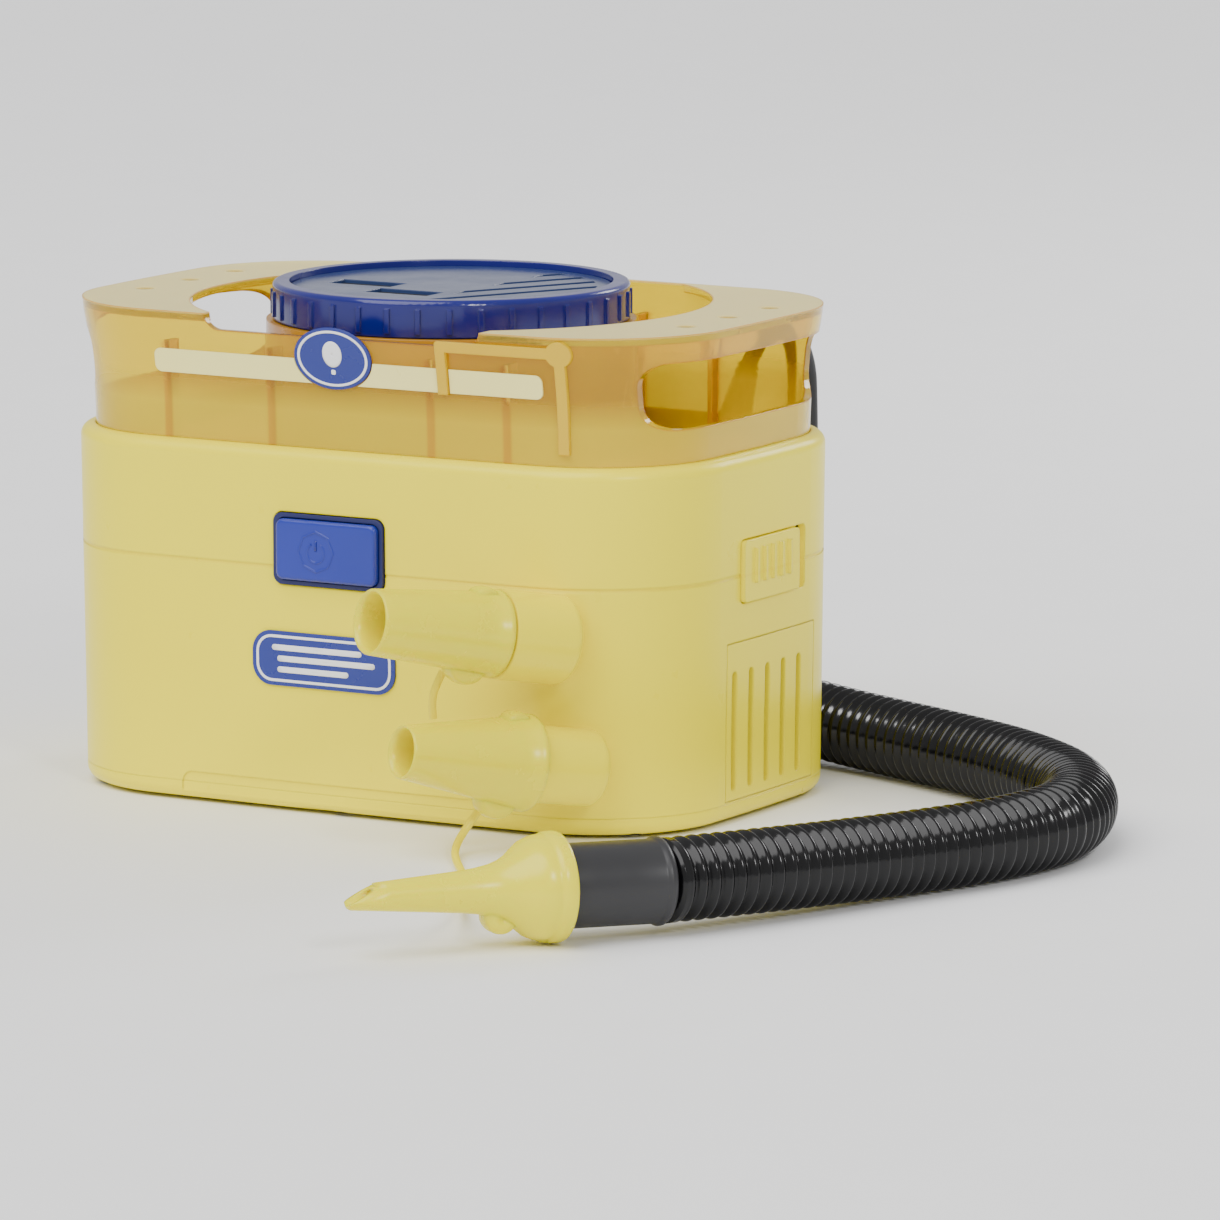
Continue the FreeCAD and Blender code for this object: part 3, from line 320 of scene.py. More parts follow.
# ---------------------------------------------------------------- materials
class Nodes:
    """Short names for building one material's node tree."""

    def __init__(self, name):
        self.material = bpy.data.materials.new(name)
        self.material.use_nodes = True
        self.tree = self.material.node_tree
        self.shader = self.tree.nodes["Principled BSDF"]
        self.where = self.node("ShaderNodeTexCoord").outputs["Object"]

    def node(self, kind, **values):
        node = self.tree.nodes.new(kind)
        for key, value in values.items():
            setattr(node, key, value)
        return node

    def link(self, source, target):
        self.tree.links.new(source, target)

    def noise(self, scale, detail=4.0, rough=0.5, stretch=None):
        node = self.node("ShaderNodeTexNoise")
        node.inputs["Scale"].default_value = scale
        node.inputs["Detail"].default_value = detail
        node.inputs["Roughness"].default_value = rough
        where = self.where
        if stretch:
            mapping = self.node("ShaderNodeMapping")
            mapping.inputs["Scale"].default_value = stretch
            self.link(where, mapping.inputs["Vector"])
            where = mapping.outputs["Vector"]
        self.link(where, node.inputs["Vector"])
        return node.outputs["Fac"]

    def span(self, value, low, high, start=0.3, stop=0.7):
        """Maps start..stop to low..high; noise mostly lies between 0.3 and 0.7."""
        node = self.node("ShaderNodeMapRange")
        for key, number in (("From Min", start), ("From Max", stop), ("To Min", low), ("To Max", high)):
            node.inputs[key].default_value = number
        self.link(value, node.inputs["Value"])
        return node.outputs["Result"]

    def blend(self, amount, first, second):
        node = self.node("ShaderNodeMix", data_type="RGBA")
        self.link(amount, node.inputs["Factor"])
        for socket, colour in ((node.inputs[6], first), (node.inputs[7], second)):
            if isinstance(colour, (tuple, list)):
                socket.default_value = (*colour, 1.0)
            else:
                self.link(colour, socket)
        return node.outputs[2]

    def maths(self, operation, first, second):
        node = self.node("ShaderNodeMath", operation=operation)
        for socket, value in zip(node.inputs, (first, second)):
            if isinstance(value, (int, float)):
                socket.default_value = value
            else:
                self.link(value, socket)
        return node.outputs[0]

    def axis(self, letter):
        split = self.node("ShaderNodeSeparateXYZ")
        self.link(self.where, split.inputs[0])
        return split.outputs[letter]

    def away(self, letter, place):
        """Distance from a plane square to one axis."""
        return self.maths("ABSOLUTE", self.maths("SUBTRACT", self.axis(letter), place), 0.0)

    def round_edges(self, radius):
        node = self.node("ShaderNodeBevel", samples=6)
        node.inputs["Radius"].default_value = radius
        return node.outputs["Normal"]

    def rims(self, radius):
        """1 along edges and corners, 0 on the flats."""
        dot = self.node("ShaderNodeVectorMath", operation="DOT_PRODUCT")
        self.link(self.round_edges(radius), dot.inputs[0])
        self.link(self.node("ShaderNodeNewGeometry").outputs["Normal"], dot.inputs[1])
        return self.span(dot.outputs["Value"], 1.0, 0.0, 0.85, 0.995)

    def bump(self, height, strength, distance, normal=None):
        node = self.node("ShaderNodeBump")
        node.inputs["Strength"].default_value = strength
        node.inputs["Distance"].default_value = distance
        self.link(height, node.inputs["Height"])
        if normal:
            self.link(normal, node.inputs["Normal"])
        return node.outputs["Normal"]

    def set(self, **values):
        """Fixed values straight on the shader's sockets."""
        for key, value in values.items():
            self.shader.inputs[key.replace("_", " ")].default_value = value


def plastic(name, colour, shade, rough=(0.2, 0.32), edge=0.0006, grain=0.00003, wave=0.15, **values):
    """Moulded plastic: slow colour drift, uneven gloss, fine texture, softened edges."""
    n = Nodes(name)
    drift = n.span(n.noise(18.0, 3.0), 0.0, 1.0)
    n.link(n.blend(drift, colour, shade), n.shader.inputs["Base Color"])
    n.link(n.span(n.noise(70.0, 6.0, 0.6), rough[0], rough[1]), n.shader.inputs["Roughness"])
    normal = n.round_edges(edge) if edge else None
    if wave:
        normal = n.bump(n.noise(22.0, 1.0), wave, 0.0005, normal)
    n.link(n.bump(n.noise(1400.0, 2.0), 0.35, grain, normal), n.shader.inputs["Normal"])
    n.set(**values)
    return n.material


def metal(name, colour, shade, rough=(0.25, 0.45), stretch=(1.0, 1.0, 30.0)):
    """Brushed metal, its fine lines square to the stretched axis."""
    n = Nodes(name)
    lines = n.noise(220.0, 3.0, 0.6, stretch)
    n.link(n.blend(n.span(n.noise(60.0), 0.0, 1.0), colour, shade), n.shader.inputs["Base Color"])
    n.link(n.span(lines, rough[0], rough[1]), n.shader.inputs["Roughness"])
    n.link(n.bump(lines, 0.3, 0.00005, n.round_edges(0.0003)), n.shader.inputs["Normal"])
    n.set(Metallic=1.0)
    return n.material


GROOVE_Z = 0.081
LOWER_ZONE = (0.132, 0.142)      # the collar's wall turns clearer between these heights
WING_TOP = (0.1612, 0.1619)      # the wings' flats are frosted, the finger dimples in them aren't
RIB_TOP = (0.1510, 0.1525)
RIB_PLACES = (-0.066, -0.026, 0.034, 0.062)


def body_material():
    """The casing's pale yellow plastic, with painted shade darkening the fine groove round it."""
    n = Nodes("body_yellow")
    colour = n.blend(n.span(n.noise(14.0, 3.0), 0.0, 1.0), (1.0, 0.86, 0.004), (0.98, 0.83, 0.003))
    # painted shade: the colour darkens along the groove at GROOVE_Z, standing in for shade in the crease
    line = n.span(n.away("Z", GROOVE_Z), 0.25, 0.0, 0.0002, 0.0007)
    n.link(n.blend(line, colour, (0.90, 0.68, 0.002)), n.shader.inputs["Base Color"])
    n.link(n.span(n.noise(60.0, 6.0, 0.6), 0.27, 0.33), n.shader.inputs["Roughness"])
    normal = n.bump(n.noise(18.0, 1.0), 0.2, 0.0006, n.round_edges(0.0009))
    n.link(n.bump(n.noise(1600.0, 2.0), 0.3, 0.00003, normal), n.shader.inputs["Normal"])
    n.set(Specular_IOR_Level=0.3)
    return n.material


def collar_material():
    """Clear amber plastic with painted shade, deeper along its rims and where a rib backs the wall; frosted
    flat tops.
    """
    n = Nodes("collar_amber")
    top = n.span(n.axis("Z"), 0.0, 1.0, *WING_TOP)
    upper = n.span(n.axis("Z"), 0.0, 1.0, *LOWER_ZONE)
    pale = n.blend(n.span(n.noise(16.0, 3.0), 0.0, 1.0), (0.93, 0.72, 0.001), (0.90, 0.67, 0.001))
    amber = n.blend(upper, pale, (0.96, 0.68, 0.001))
    # painted shade: the wall's colour darkens in strips where a rib stands behind it
    beside = n.away("X", RIB_PLACES[0])
    for place in RIB_PLACES[1:]:
        beside = n.maths("MINIMUM", beside, n.away("X", place))
    rib_shade = n.maths("MULTIPLY", n.span(beside, 0.85, 0.0, 0.0010, 0.0020),
                  n.span(n.away("Y", 0.0), 0.0, 1.0, 0.059, 0.062))
    rib_shade = n.maths("MULTIPLY", rib_shade, n.span(n.axis("Z"), 1.0, 0.0, *RIB_TOP))
    amber = n.blend(rib_shade, amber, (0.78, 0.42, 0.001))
    amber = n.blend(top, amber, (1.0, 0.88, 0.36))
    # painted shade: a deeper, darker amber along the rims and corners
    n.link(n.blend(n.rims(0.0012), amber, (0.85, 0.40, 0.001)), n.shader.inputs["Base Color"])
    clear = n.maths("ADD", 0.45, n.maths("MULTIPLY", upper, 0.35))
    n.link(n.maths("SUBTRACT", clear, n.maths("MULTIPLY", top, 0.5)), n.shader.inputs["Transmission Weight"])
    gloss = n.span(n.noise(60.0, 5.0, 0.6), 0.02, 0.06)
    n.link(n.maths("ADD", gloss, n.maths("MULTIPLY", top, 0.35)), n.shader.inputs["Roughness"])
    n.link(n.bump(n.noise(24.0, 1.0), 0.12, 0.0005, n.round_edges(0.0006)), n.shader.inputs["Normal"])
    n.set(IOR=1.4)
    return n.material


def foam_material():
    """Open-celled black foam."""
    n = Nodes("filter_foam")
    cells = n.node("ShaderNodeTexVoronoi")
    cells.inputs["Scale"].default_value = 900.0
    n.link(n.where, cells.inputs["Vector"])
    n.link(n.blend(cells.outputs["Distance"], (0.015, 0.015, 0.016), (0.06, 0.06, 0.06)),
           n.shader.inputs["Base Color"])
    n.link(n.bump(cells.outputs["Distance"], 1.0, 0.0006), n.shader.inputs["Normal"])
    n.link(n.span(n.noise(80.0), 0.85, 1.0), n.shader.inputs["Roughness"])
    return n.material


def board_material():
    """Green lacquer over copper tracks."""
    n = Nodes("board_green")
    tracks = n.node("ShaderNodeTexBrick", offset=0.4)
    tracks.inputs["Scale"].default_value = 160.0
    tracks.inputs["Mortar Size"].default_value = 0.03
    n.link(n.where, tracks.inputs["Vector"])
    n.link(n.blend(tracks.outputs["Fac"], (0.010, 0.10, 0.040), (0.025, 0.20, 0.08)),
           n.shader.inputs["Base Color"])
    n.link(n.span(n.noise(90.0), 0.25, 0.4), n.shader.inputs["Roughness"])
    n.link(n.bump(tracks.outputs["Fac"], 0.4, 0.0001), n.shader.inputs["Normal"])
    return n.material


SOFT = dict(Subsurface_Weight=0.2, Subsurface_Scale=0.003)
PLASTICS = {
    "deck_amber": dict(colour=(1.0, 0.72, 0.01), shade=(0.95, 0.66, 0.008), rough=(0.2, 0.35)),
    # painted shade: the turret inside the collar is coloured dark brown amber for the shade it sits in
    "turret_amber": dict(colour=(0.55, 0.26, 0.010), shade=(0.42, 0.18, 0.008), rough=(0.18, 0.3)),
    "clip_yellow": dict(colour=(0.96, 0.66, 0.002), shade=(0.92, 0.61, 0.002), rough=(0.12, 0.2),
                        Transmission_Weight=0.35),
    "band_cream": dict(colour=(1.0, 0.92, 0.34), shade=(0.98, 0.89, 0.30), rough=(0.25, 0.4), edge=0.0003),
    "badge_blue": dict(colour=(0.016, 0.030, 0.24), shade=(0.020, 0.036, 0.27), rough=(0.2, 0.32),
                       edge=0.0003),
    "print_white": dict(colour=(0.90, 0.91, 0.93), shade=(0.86, 0.87, 0.90), rough=(0.25, 0.4), edge=0.0),
    # painted shade: the gap round the button is coloured a dark navy
    "gap_dark": dict(colour=(0.010, 0.016, 0.12), shade=(0.008, 0.012, 0.09), rough=(0.35, 0.5),
                     edge=0.0005),
    "button_blue": dict(colour=(0.018, 0.034, 0.36), shade=(0.014, 0.028, 0.31), rough=(0.14, 0.24),
                        edge=0.0010),
    "ring_blue": dict(colour=(0.007, 0.010, 0.19), shade=(0.005, 0.007, 0.15), rough=(0.12, 0.2)),
    "plate_blue": dict(colour=(0.035, 0.060, 0.16), shade=(0.025, 0.045, 0.13), rough=(0.15, 0.25)),
    "seal_rubber": dict(colour=(0.008, 0.008, 0.009), shade=(0.014, 0.014, 0.014), rough=(0.6, 0.8),
                        edge=0.0002, grain=0.0001),
    "foot_rubber": dict(colour=(0.10, 0.10, 0.095), shade=(0.07, 0.07, 0.068), rough=(0.65, 0.85),
                        edge=0.0003, grain=0.0001),
    "part_black": dict(colour=(0.014, 0.014, 0.016), shade=(0.022, 0.022, 0.024), rough=(0.35, 0.5),
                       edge=0.0003),
    "magnet_dark": dict(colour=(0.03, 0.03, 0.033), shade=(0.045, 0.045, 0.048), rough=(0.5, 0.7),
                        edge=0.0003),
    "fan_plastic": dict(colour=(0.72, 0.70, 0.62), shade=(0.66, 0.64, 0.56), rough=(0.3, 0.45),
                        edge=0.0004, **SOFT),
    "elbow_black": dict(colour=(0.006, 0.006, 0.007), shade=(0.010, 0.010, 0.011), rough=(0.25, 0.4)),
    "cuff_grey": dict(colour=(0.024, 0.024, 0.026), shade=(0.032, 0.032, 0.034), rough=(0.34, 0.46),
                      edge=0.0004, grain=0.00003, wave=0.0, Specular_IOR_Level=0.4),
    "nozzle_yellow": dict(colour=(1.0, 0.87, 0.006), shade=(0.98, 0.84, 0.005), rough=(0.2, 0.3),
                          edge=0.0011, grain=0.00003, wave=0.1, Transmission_Weight=0.12,
                          Subsurface_Weight=0.2, Subsurface_Scale=0.003, Specular_IOR_Level=0.4),
    "tie_yellow": dict(colour=(1.0, 0.86, 0.006), shade=(0.97, 0.82, 0.005), rough=(0.3, 0.45), edge=0.0,
                       grain=0.00003, wave=0.1),
    "hose_black": dict(colour=(0.0025, 0.0025, 0.003), shade=(0.004, 0.004, 0.0045), rough=(0.12, 0.18),
                       edge=0.0, grain=0.00001, wave=0.0, Specular_IOR_Level=0.35),
    "lead_black": dict(colour=(0.007, 0.007, 0.008), shade=(0.011, 0.011, 0.012), rough=(0.35, 0.5),
                       edge=0.0, grain=0.00003, wave=0.0),
    "tie_wrap": dict(colour=(0.72, 0.72, 0.70), shade=(0.66, 0.66, 0.64), rough=(0.3, 0.45), edge=0.0002,
                     **SOFT),
    "plug_black": dict(colour=(0.008, 0.008, 0.009), shade=(0.013, 0.013, 0.014), rough=(0.4, 0.55),
                       edge=0.0008),
}
METALS = {
    "screw_steel": dict(colour=(0.58, 0.58, 0.60), shade=(0.50, 0.50, 0.52)),
    "motor_steel": dict(colour=(0.55, 0.55, 0.57), shade=(0.46, 0.46, 0.48)),
    "bearing_brass": dict(colour=(0.62, 0.42, 0.18), shade=(0.52, 0.34, 0.14)),
    "pin_brass": dict(colour=(0.70, 0.55, 0.26), shade=(0.62, 0.47, 0.20), rough=(0.2, 0.32),
                      stretch=(1.0, 30.0, 1.0)),
}

MATERIALS = {
    "body_yellow": body_material(),
    "collar_amber": collar_material(),
    "filter_foam": foam_material(),
    "board_green": board_material(),
}
for name, look in PLASTICS.items():
    MATERIALS[name] = plastic(name, **look)
for name, look in METALS.items():
    MATERIALS[name] = metal(name, **look)

SLOT_OF = {part["node"]: part["material_slot"] for part in frame["record"]["subparts"]}
BODY_OF = {node: body for body, members in frame["record"]["behaviour"]["bodies"].items()
           for node in members}

for node, obj in NODES.items():
    obj.data.materials.clear()
    obj.data.materials.append(MATERIALS[SLOT_OF[node]])


def finish_piece(obj, node, replaces=True, material=None):
    """Gives a piece its node's material and body, and has it stand for the node."""
    obj.data.materials.clear()
    obj.data.materials.append(MATERIALS[material or SLOT_OF[node]])
    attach(obj, BODY_OF[node])
    if replaces:
        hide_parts(node)
    return obj


# ---------------------------------------------------------------- hose
PEG_AXIS = Vector((-0.49, -0.857, 0.165)).normalized()
CONE_AXIS = Vector((-0.59, -0.807, 0.026)).normalized()
CONE_BASE = mm(166.2, -217.9, 17.25)
ELBOW_OUT = Vector((0.978, 0.0, -0.208)).normalized()


HOSE_LENGTH = 0.404
HOSE_GROOVE = 0.0021          # how deep its valleys are
RING_STEPS, HOSE_AROUND = 14, 64


def hose_radius(distance, length):
    """Rounded ridges with narrow valleys, and a plain collar at each end."""
    edge = min(distance, length - distance)
    ridge = (0.5 + 0.5 * math.cos(2 * math.pi * (distance / HOSE_PITCH - 0.5))) ** 0.7
    depth = HOSE_GROOVE * ease((edge - 0.001) / 0.003)
    return HOSE_R - depth * (1 - ridge)


hose_line = spline_line("hose_guide", HOSE_ROUTE)
hose_rings = int(HOSE_LENGTH / HOSE_PITCH)
hose, hose_path = tube("hose_corrugated", hose_line, hose_radius, HOSE_AROUND, hose_rings * RING_STEPS + 1)
finish_piece(hose, "hose")

# ---------------------------------------------------------------- lead, coil and ties
lead = spline_object("lead_cord", LEAD_ROUTE + coil_points() + TAIL_ROUTE, LEAD_R)
finish_piece(lead, "lead")
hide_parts("lead_coil", "lead_tail")

lower_tie = spline_object("lower_tie", LOWER_TIE_ROUTE, TIE_R)
finish_piece(lower_tie, "lower_strap")
upper_tie = spline_object("upper_tie", UPPER_TIE_ROUTE, TIE_R)
finish_piece(upper_tie, "upper_strap")

# ---------------------------------------------------------------- cuff and strain relief
CUFF_R, CUFF_LENGTH = 0.01295, 0.0343
cuff_back = CONE_BASE - CONE_AXIS * CUFF_LENGTH
cuff = lathe("cuff_smooth", cuff_back, CONE_AXIS, [
    (0.0, 0.0105), (0.0, 0.0122), (0.0006, 0.0131), (0.0016, 0.01365), (0.0026, 0.01365), (0.0034, 0.0131),
    (0.004, CUFF_R), (0.0145, CUFF_R), (0.0265, CUFF_R), (0.0427, CUFF_R), (0.0439, 0.0126),
    (0.0442, 0.0120), (0.0442, 0.0105), (0.020, 0.0105)])
finish_piece(cuff, "hose_cuff")

GLAND = mm(63.5, 72.4, 105.0)
GLAND_AXIS = Vector((0.0, 0.5, 0.866)).normalized()


def relief_profile():
    """Flange, then seven tapering ribs, then the hole that the lead runs through."""
    profile = [(-0.006, 0.0042), (0.0045, 0.0042), (0.006, 0.0064), (0.0064, 0.0066), (0.0090, 0.0066),
               (0.0094, 0.0063)]
    for i in range(7):
        s = 0.0104 + 0.0032 * i
        r = 0.0062 - 0.00033 * i
        profile += [(s, r), (s + 0.0014, r - 0.0001), (s + 0.0017, r - 0.0011), (s + 0.0028, r - 0.0011)]
    return profile + [(0.0328, 0.0040), (0.0334, 0.0036), (0.0334, 0.00305), (0.028, 0.00305),
                      (0.0275, 0.0004), (-0.006, 0.0004)]


relief = lathe("strain_relief", GLAND, GLAND_AXIS, relief_profile(), 64)
finish_piece(relief, "lead_gland")


# ---------------------------------------------------------------- nozzles
PEG_END = 0.0244
SPARE_LENGTH = 0.046
CONE_LENGTH = 0.0686
TAB_WIDTH = 0.0078
TAB_SINK = 0.0036             # how far a spare nozzle's tabs are centred inside its rim


def down_from(axis):
    """Unit vector square to the axis, as near to straight down as it can be."""
    down = Vector((0, 0, -1))
    return (down - axis * down.dot(axis)).normalized()


def tab(root, axis, side, along, radius, size):
    """Round finger tab, as a short lens-shaped disc beside the tube."""
    across = axis.cross(side).normalized()
    middle = root + axis * along + side * radius
    half = TAB_WIDTH / 2
    return lathe("tab", middle, across, [
        (-half, 0.0002), (-half, size * 0.86), (-half * 0.8, size * 0.95), (-half * 0.4, size),
        (half * 0.4, size), (half * 0.8, size * 0.95), (half, size * 0.86), (half, 0.0002)], 40)


def nozzle(name, node, tube_shape, tabs, clear):
    """A nozzle out of its tube and its tabs, which are cut clear of the air's way."""
    for part in tabs:
        cut_with(part, clear, True)
    bpy.data.objects.remove(clear)
    return finish_piece(join([tube_shape] + tabs, name), node)


def spare(name, node, root, rim, tip, bore, spigot):
    """Spare nozzle on its peg: a rimmed, tapered tube with a thin lip and two tabs."""
    end = PEG_END + SPARE_LENGTH
    down = down_from(PEG_AXIS)
    outer = [(PEG_END, rim), (PEG_END + 0.0004, rim + 0.0007), (PEG_END + 0.0022, rim + 0.0007),
             (PEG_END + 0.0030, rim - 0.0001)]
    for k in range(1, 9):
        t = k / 8
        outer.append((PEG_END + 0.003 + (SPARE_LENGTH - 0.0042) * t, rim + (tip - rim) * t))
    outer += [(end - 0.0004, tip - 0.0001), (end, tip - 0.0004), (end - 0.0001, tip - 0.0008)]
    inner = [(end - 0.0025, bore), (end - 0.014, bore), (PEG_END + 0.014, spigot),
             (PEG_END, spigot + 0.0003)]
    clear = lathe("clear", root, PEG_AXIS, [(PEG_END - 0.003, 0.0001), (PEG_END - 0.003, spigot + 0.0004),
                                            (PEG_END + 0.0135, spigot + 0.0004), (end - 0.014, bore + 0.0003),
                                            (end + 0.003, bore + 0.0003), (end + 0.003, 0.0001)], 96)
    body = lathe(name, root, PEG_AXIS, outer + inner, 128)
    tabs = [tab(root, PEG_AXIS, down, PEG_END + 0.0096, rim - TAB_SINK, 0.0072),
            tab(root, PEG_AXIS, -down, PEG_END + 0.0062, rim - TAB_SINK, 0.0050)]
    nozzle(name, node, body, tabs, clear)


def slant_wedge():
    """The block that cuts the cone nozzle's mouth at a slant."""
    root = CONE_BASE + CONE_AXIS * (CONE_LENGTH - 0.009) + mm(0, 0, 3.2)
    side = axes_of(CONE_AXIS)[1]
    tilt = math.radians(28)
    forward = CONE_AXIS * math.cos(tilt) + Vector((0, 0, -1)) * math.sin(tilt)
    lift = Vector((0, 0, 1)) * math.cos(tilt) + CONE_AXIS * math.sin(tilt)
    corners = [root + forward * (0.022 * i) + side * (0.010 * (2 * j - 1)) + lift * (0.012 * k)
               for i in (0, 1) for j in (0, 1) for k in (0, 1)]
    wedge = new_object("wedge", corners, [(0, 1, 3, 2), (4, 6, 7, 5), (0, 4, 5, 1), (2, 3, 7, 6),
                                          (0, 2, 6, 4), (1, 5, 7, 3)], False)
    outward(wedge)
    return wedge


def cone_spout():
    """Cone nozzle on the hose: a bell that narrows to a slender spout."""
    outer = [(0.0, 0.0159), (0.0004, 0.0166), (0.0012, 0.0169), (0.0040, 0.0169), (0.0048, 0.0166),
             (0.0052, 0.0161), (0.0060, 0.0160), (0.0068, 0.0161), (0.0090, 0.0156), (0.0115, 0.0146),
             (0.0140, 0.0126), (0.0163, 0.0107), (0.0190, 0.0091), (0.0225, 0.0079), (0.0270, 0.0070),
             (0.0320, 0.0064), (0.0440, 0.0055), (0.0560, 0.0046), (CONE_LENGTH - 0.0008, 0.0037),
             (CONE_LENGTH, 0.0033)]
    inner = [(CONE_LENGTH, 0.0023), (0.0566, 0.0023), (0.0320, 0.0042), (0.0200, 0.0062),
             (0.0104, 0.0116), (0.0103, 0.01302), (0.0, 0.01302)]
    clear = lathe("clear", CONE_BASE, CONE_AXIS, [(-0.002, 0.0001), (-0.002, 0.0133), (0.0103, 0.0133),
                                                  (0.0104, 0.0119), (0.0200, 0.0065), (0.0320, 0.0045),
                                                  (0.0400, 0.0001)], 96)
    down = down_from(CONE_AXIS)
    body = lathe("cone", CONE_BASE, CONE_AXIS, outer + inner, 128)
    cut_with(body, slant_wedge())
    tabs = [tab(CONE_BASE, CONE_AXIS, down, 0.0048, 0.0113, 0.0054),
            tab(CONE_BASE, CONE_AXIS, down, 0.0195, 0.0079, 0.0054)]
    return nozzle("cone_spout", "cone_nozzle", body, tabs, clear)


spare("large_spare", "large_nozzle", mm(84.0, -74.2, 65.3), 0.0134, 0.0106, 0.0090, 0.01062)
spare("medium_spare", "medium_nozzle", mm(93.4, -70.9, 24.0), 0.0150, 0.0087, 0.0072, 0.00962)
cone = cone_spout()


# ---------------------------------------------------------------- button symbol and badges
low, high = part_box("power_button")
button_face = Vector(((low.x + high.x) / 2, low.y, (low.z + high.z) / 2))
RIGHT, UP = Vector((1, 0, 0)), Vector((0, 0, 1))
MARK_WIDTH, MARK_RISE = 0.0009, 0.00028


def ring_mark(name, centre, radius, sides, gap=0.0):
    """Raised outline in the X-Z plane, facing -Y, with a gap (an angle) at its top."""
    verts, faces = [], []
    steps = sides * 8
    span = 2 * math.pi - gap
    count = steps if gap == 0 else steps + 1
    for k in range(count):
        a = math.pi / 2 + gap / 2 + span * k / steps
        part = (a - math.pi / 2) % (2 * math.pi / sides) - math.pi / sides
        bend = math.cos(math.pi / sides) / math.cos(part) if sides < 24 else 1.0
        for shift, lift in ((-0.5, 0.0), (-0.3, 1.0), (0.3, 1.0), (0.5, 0.0)):
            r = radius * bend + MARK_WIDTH * shift
            verts.append(centre + Vector((r * math.cos(a), -MARK_RISE * lift, r * math.sin(a))))
    for k in range(count if gap == 0 else count - 1):
        n = (k + 1) % count
        for j in range(3):
            faces.append((k * 4 + j, n * 4 + j, n * 4 + j + 1, k * 4 + j + 1))
    obj = new_object(name, verts, faces)
    outward(obj)
    return obj


symbol_at = button_face + mm(-3.4, 0.02, 0.0)
octagon = ring_mark("symbol", symbol_at, 0.0066, 8)
power_mark = ring_mark("power", symbol_at + mm(0, 0, -0.4), 0.0032, 24, 1.1)
power_bar = rounded_plate("bar", symbol_at + mm(0, 0, 2.0), RIGHT, UP, MARK_WIDTH, 0.0036, 0.0004, 0.0003,
                          0.00015)
symbol = join([octagon, power_mark, power_bar], "button_symbol")
symbol.data.shade_smooth()
finish_piece(symbol, "power_button", False)


def rounded_outline(x, z, width, height, corner, steps=8):
    """Points round a rounded rectangle in the X-Z plane, in millimetres."""
    points = []
    for sx, sz, start in ((1, 1, 0), (-1, 1, 90), (-1, -1, 180), (1, -1, 270)):
        for k in range(steps + 1):
            a = math.radians(start + 90 * k / steps)
            points.append((x + sx * (width / 2 - corner) + corner * math.cos(a),
                           z + sz * (height / 2 - corner) + corner * math.sin(a)))
    return points


def oval_outline(x, z, half_w, half_h, steps=48):
    """Points round an oval in the X-Z plane, in millimetres."""
    return [(x + half_w * math.cos(2 * math.pi * k / steps), z + half_h * math.sin(2 * math.pi * k / steps))
            for k in range(steps)]


PRINT_LIFT, PRINT_SINK = 0.00012, 0.00005
PRINT_RINGS = 6


def printed(name, node, loops):
    """Thin raised print on a node's front: each loop is (outer outline, inner outline or None)."""
    surface = BVHTree.FromObject(NODES[node], bpy.context.evaluated_depsgraph_get())

    def on_face(x, z, proud):
        start = mm(x, -120.0, z)
        hit = surface.ray_cast(start, Vector((0, 1, 0)))[0]
        return hit + Vector((0, -proud, 0))

    verts, faces = [], []
    for outer, inner in loops:
        cx = sum(p[0] for p in outer) / len(outer)
        cz = sum(p[1] for p in outer) / len(outer)
        if inner is None:
            inner = [(cx + (x - cx) * 0.02, cz + (z - cz) * 0.02) for x, z in outer]
        count, base = len(outer), len(verts)
        for j in range(PRINT_RINGS):
            t = j / (PRINT_RINGS - 1)
            for (ox, oz), (ix, iz) in zip(outer, inner):
                verts.append(on_face(ox + (ix - ox) * t, oz + (iz - oz) * t, PRINT_LIFT))
        for x, z in outer + inner:
            verts.append(on_face(x, z, -PRINT_SINK))
        rows = [PRINT_RINGS, *range(PRINT_RINGS), PRINT_RINGS + 1]
        for this, after in zip(rows, rows[1:]):
            strip(faces, base + this * count, base + after * count, count)
    obj = new_object(name, verts, faces, False)
    outward(obj)
    return finish_piece(obj, node, False, "print_white")


def outline_band(x, z, width, height, corner, line):
    """Rounded rectangle drawn as a line of even width."""
    return (rounded_outline(x, z, width, height, corner),
            rounded_outline(x, z, width - 2 * line, height - 2 * line, corner - line))


front_loops = [outline_band(-4.0, 51.0, 51.0, 15.4, 5.8, 0.9)]
for x, z, width in ((-6.5, 54.6, 34.0), (-3.0, 51.0, 37.0), (-8.0, 47.4, 27.0)):
    front_loops.append((rounded_outline(x, z, width, 1.9, 0.94), None))
printed("front_print", "front_badge", front_loops)

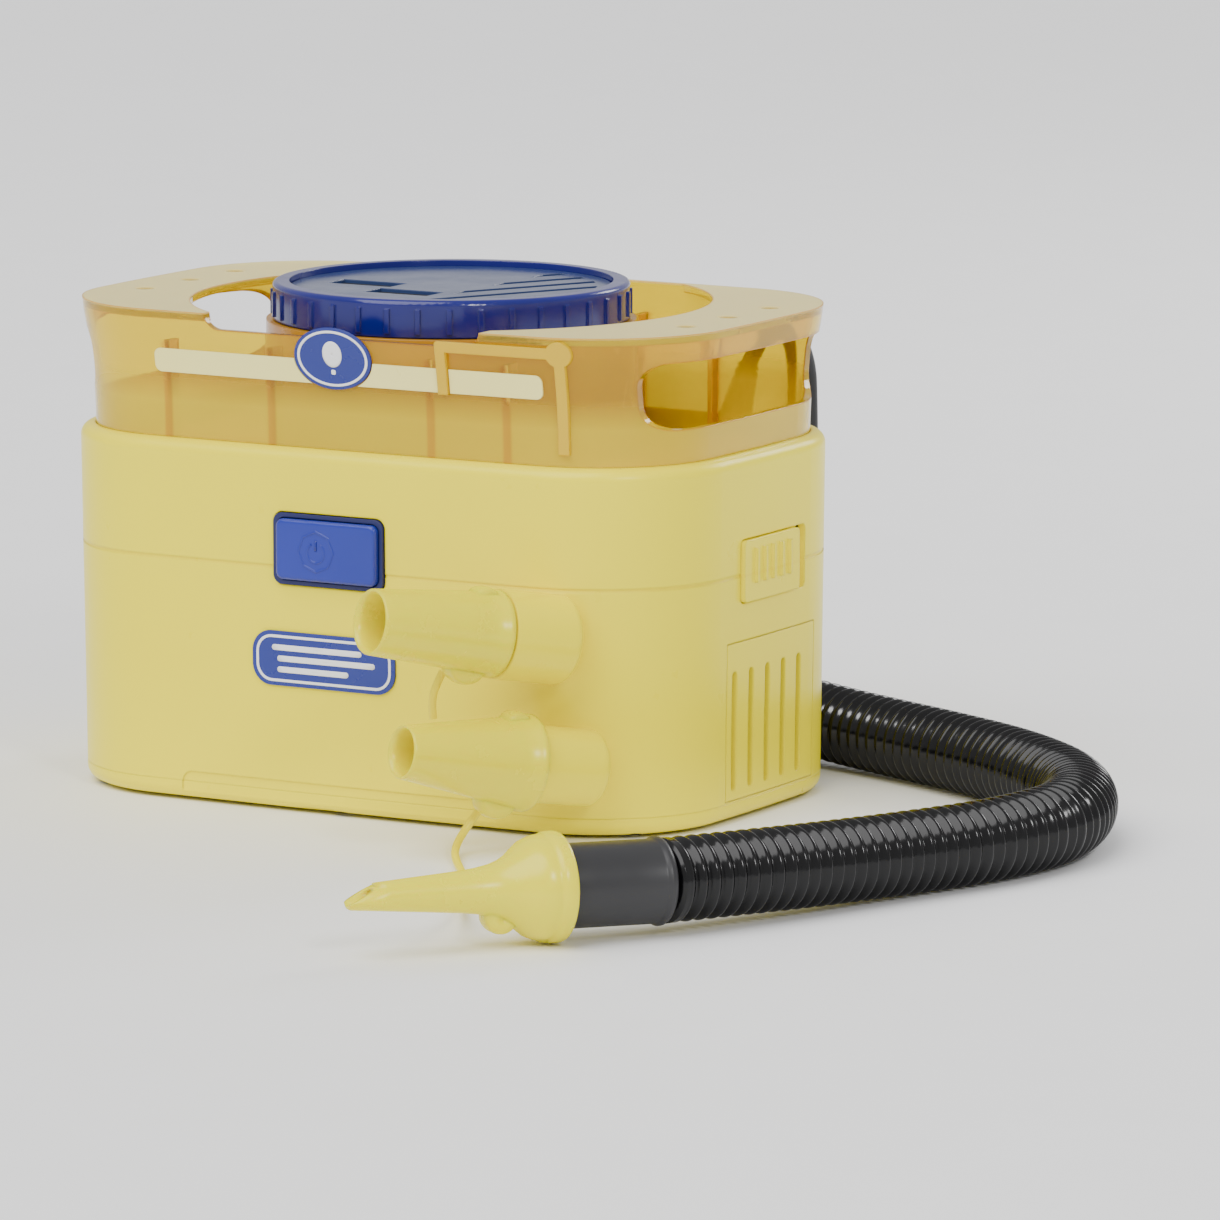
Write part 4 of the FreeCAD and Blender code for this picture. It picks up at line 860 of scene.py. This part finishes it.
BALLOON_X, BALLOON_Z = -1.0, 150.2
collar_loops = [(oval_outline(BALLOON_X, BALLOON_Z, 13.2, 9.2),
                 oval_outline(BALLOON_X, BALLOON_Z, 12.3, 8.4)),
                (oval_outline(BALLOON_X, BALLOON_Z + 1.4, 3.6, 4.3), None),
                (rounded_outline(BALLOON_X, BALLOON_Z - 4.5, 1.6, 1.6, 0.5), None)]
printed("collar_print", "collar_badge", collar_loops)


# ---------------------------------------------------------------- stage and light
FLOOR_HALF = 9.0
WORLD_STRENGTH = 0.7


def stage_material():
    n = Nodes("floor_white")
    n.link(n.blend(n.span(n.noise(3.0), 0.0, 1.0), (0.95, 0.95, 0.955), (0.94, 0.94, 0.945)),
           n.shader.inputs["Base Color"])
    n.link(n.span(n.noise(30.0), 0.55, 0.65), n.shader.inputs["Roughness"])
    n.set(Specular_IOR_Level=0.2)
    return n.material


floor_corners = [(x * FLOOR_HALF, y * FLOOR_HALF, 0) for x, y in ((-1, -1), (1, -1), (1, 1), (-1, 1))]
floor = new_object("floor", floor_corners, [(0, 1, 2, 3)], False)
floor.data.materials.append(stage_material())


def lamp(name, kind, place, target, power, size):
    """A sun, its size an angle in degrees, or a square area lamp, its size in metres."""
    data = bpy.data.lights.new(name, kind)
    data.energy = power
    if kind == "SUN":
        data.angle = math.radians(size)
    else:
        data.shape = "SQUARE"
        data.size = size
    obj = bpy.data.objects.new(name, data)
    SCENE.collection.objects.link(obj)
    obj.location = place
    obj.rotation_euler = (Vector(target) - Vector(place)).to_track_quat("-Z", "Y").to_euler()


lamp("softbox_high", "SUN", (-0.4, -1.6, 2.4), (0.0, 0.0, 0.0), 2.5, 50)
lamp("key_right", "AREA", (2.0, -1.5, 1.5), (0.1, -0.05, 0.06), 22.0, 0.5)
lamp("rim_behind", "AREA", (0.6, 1.8, 1.0), (0.1, 0.0, 0.1), 12.0, 0.6)

world = bpy.data.worlds.new("studio")
world.use_nodes = True
world.node_tree.nodes["Background"].inputs["Color"].default_value = (1.0, 1.0, 1.0, 1.0)
world.node_tree.nodes["Background"].inputs["Strength"].default_value = WORLD_STRENGTH
SCENE.world = world
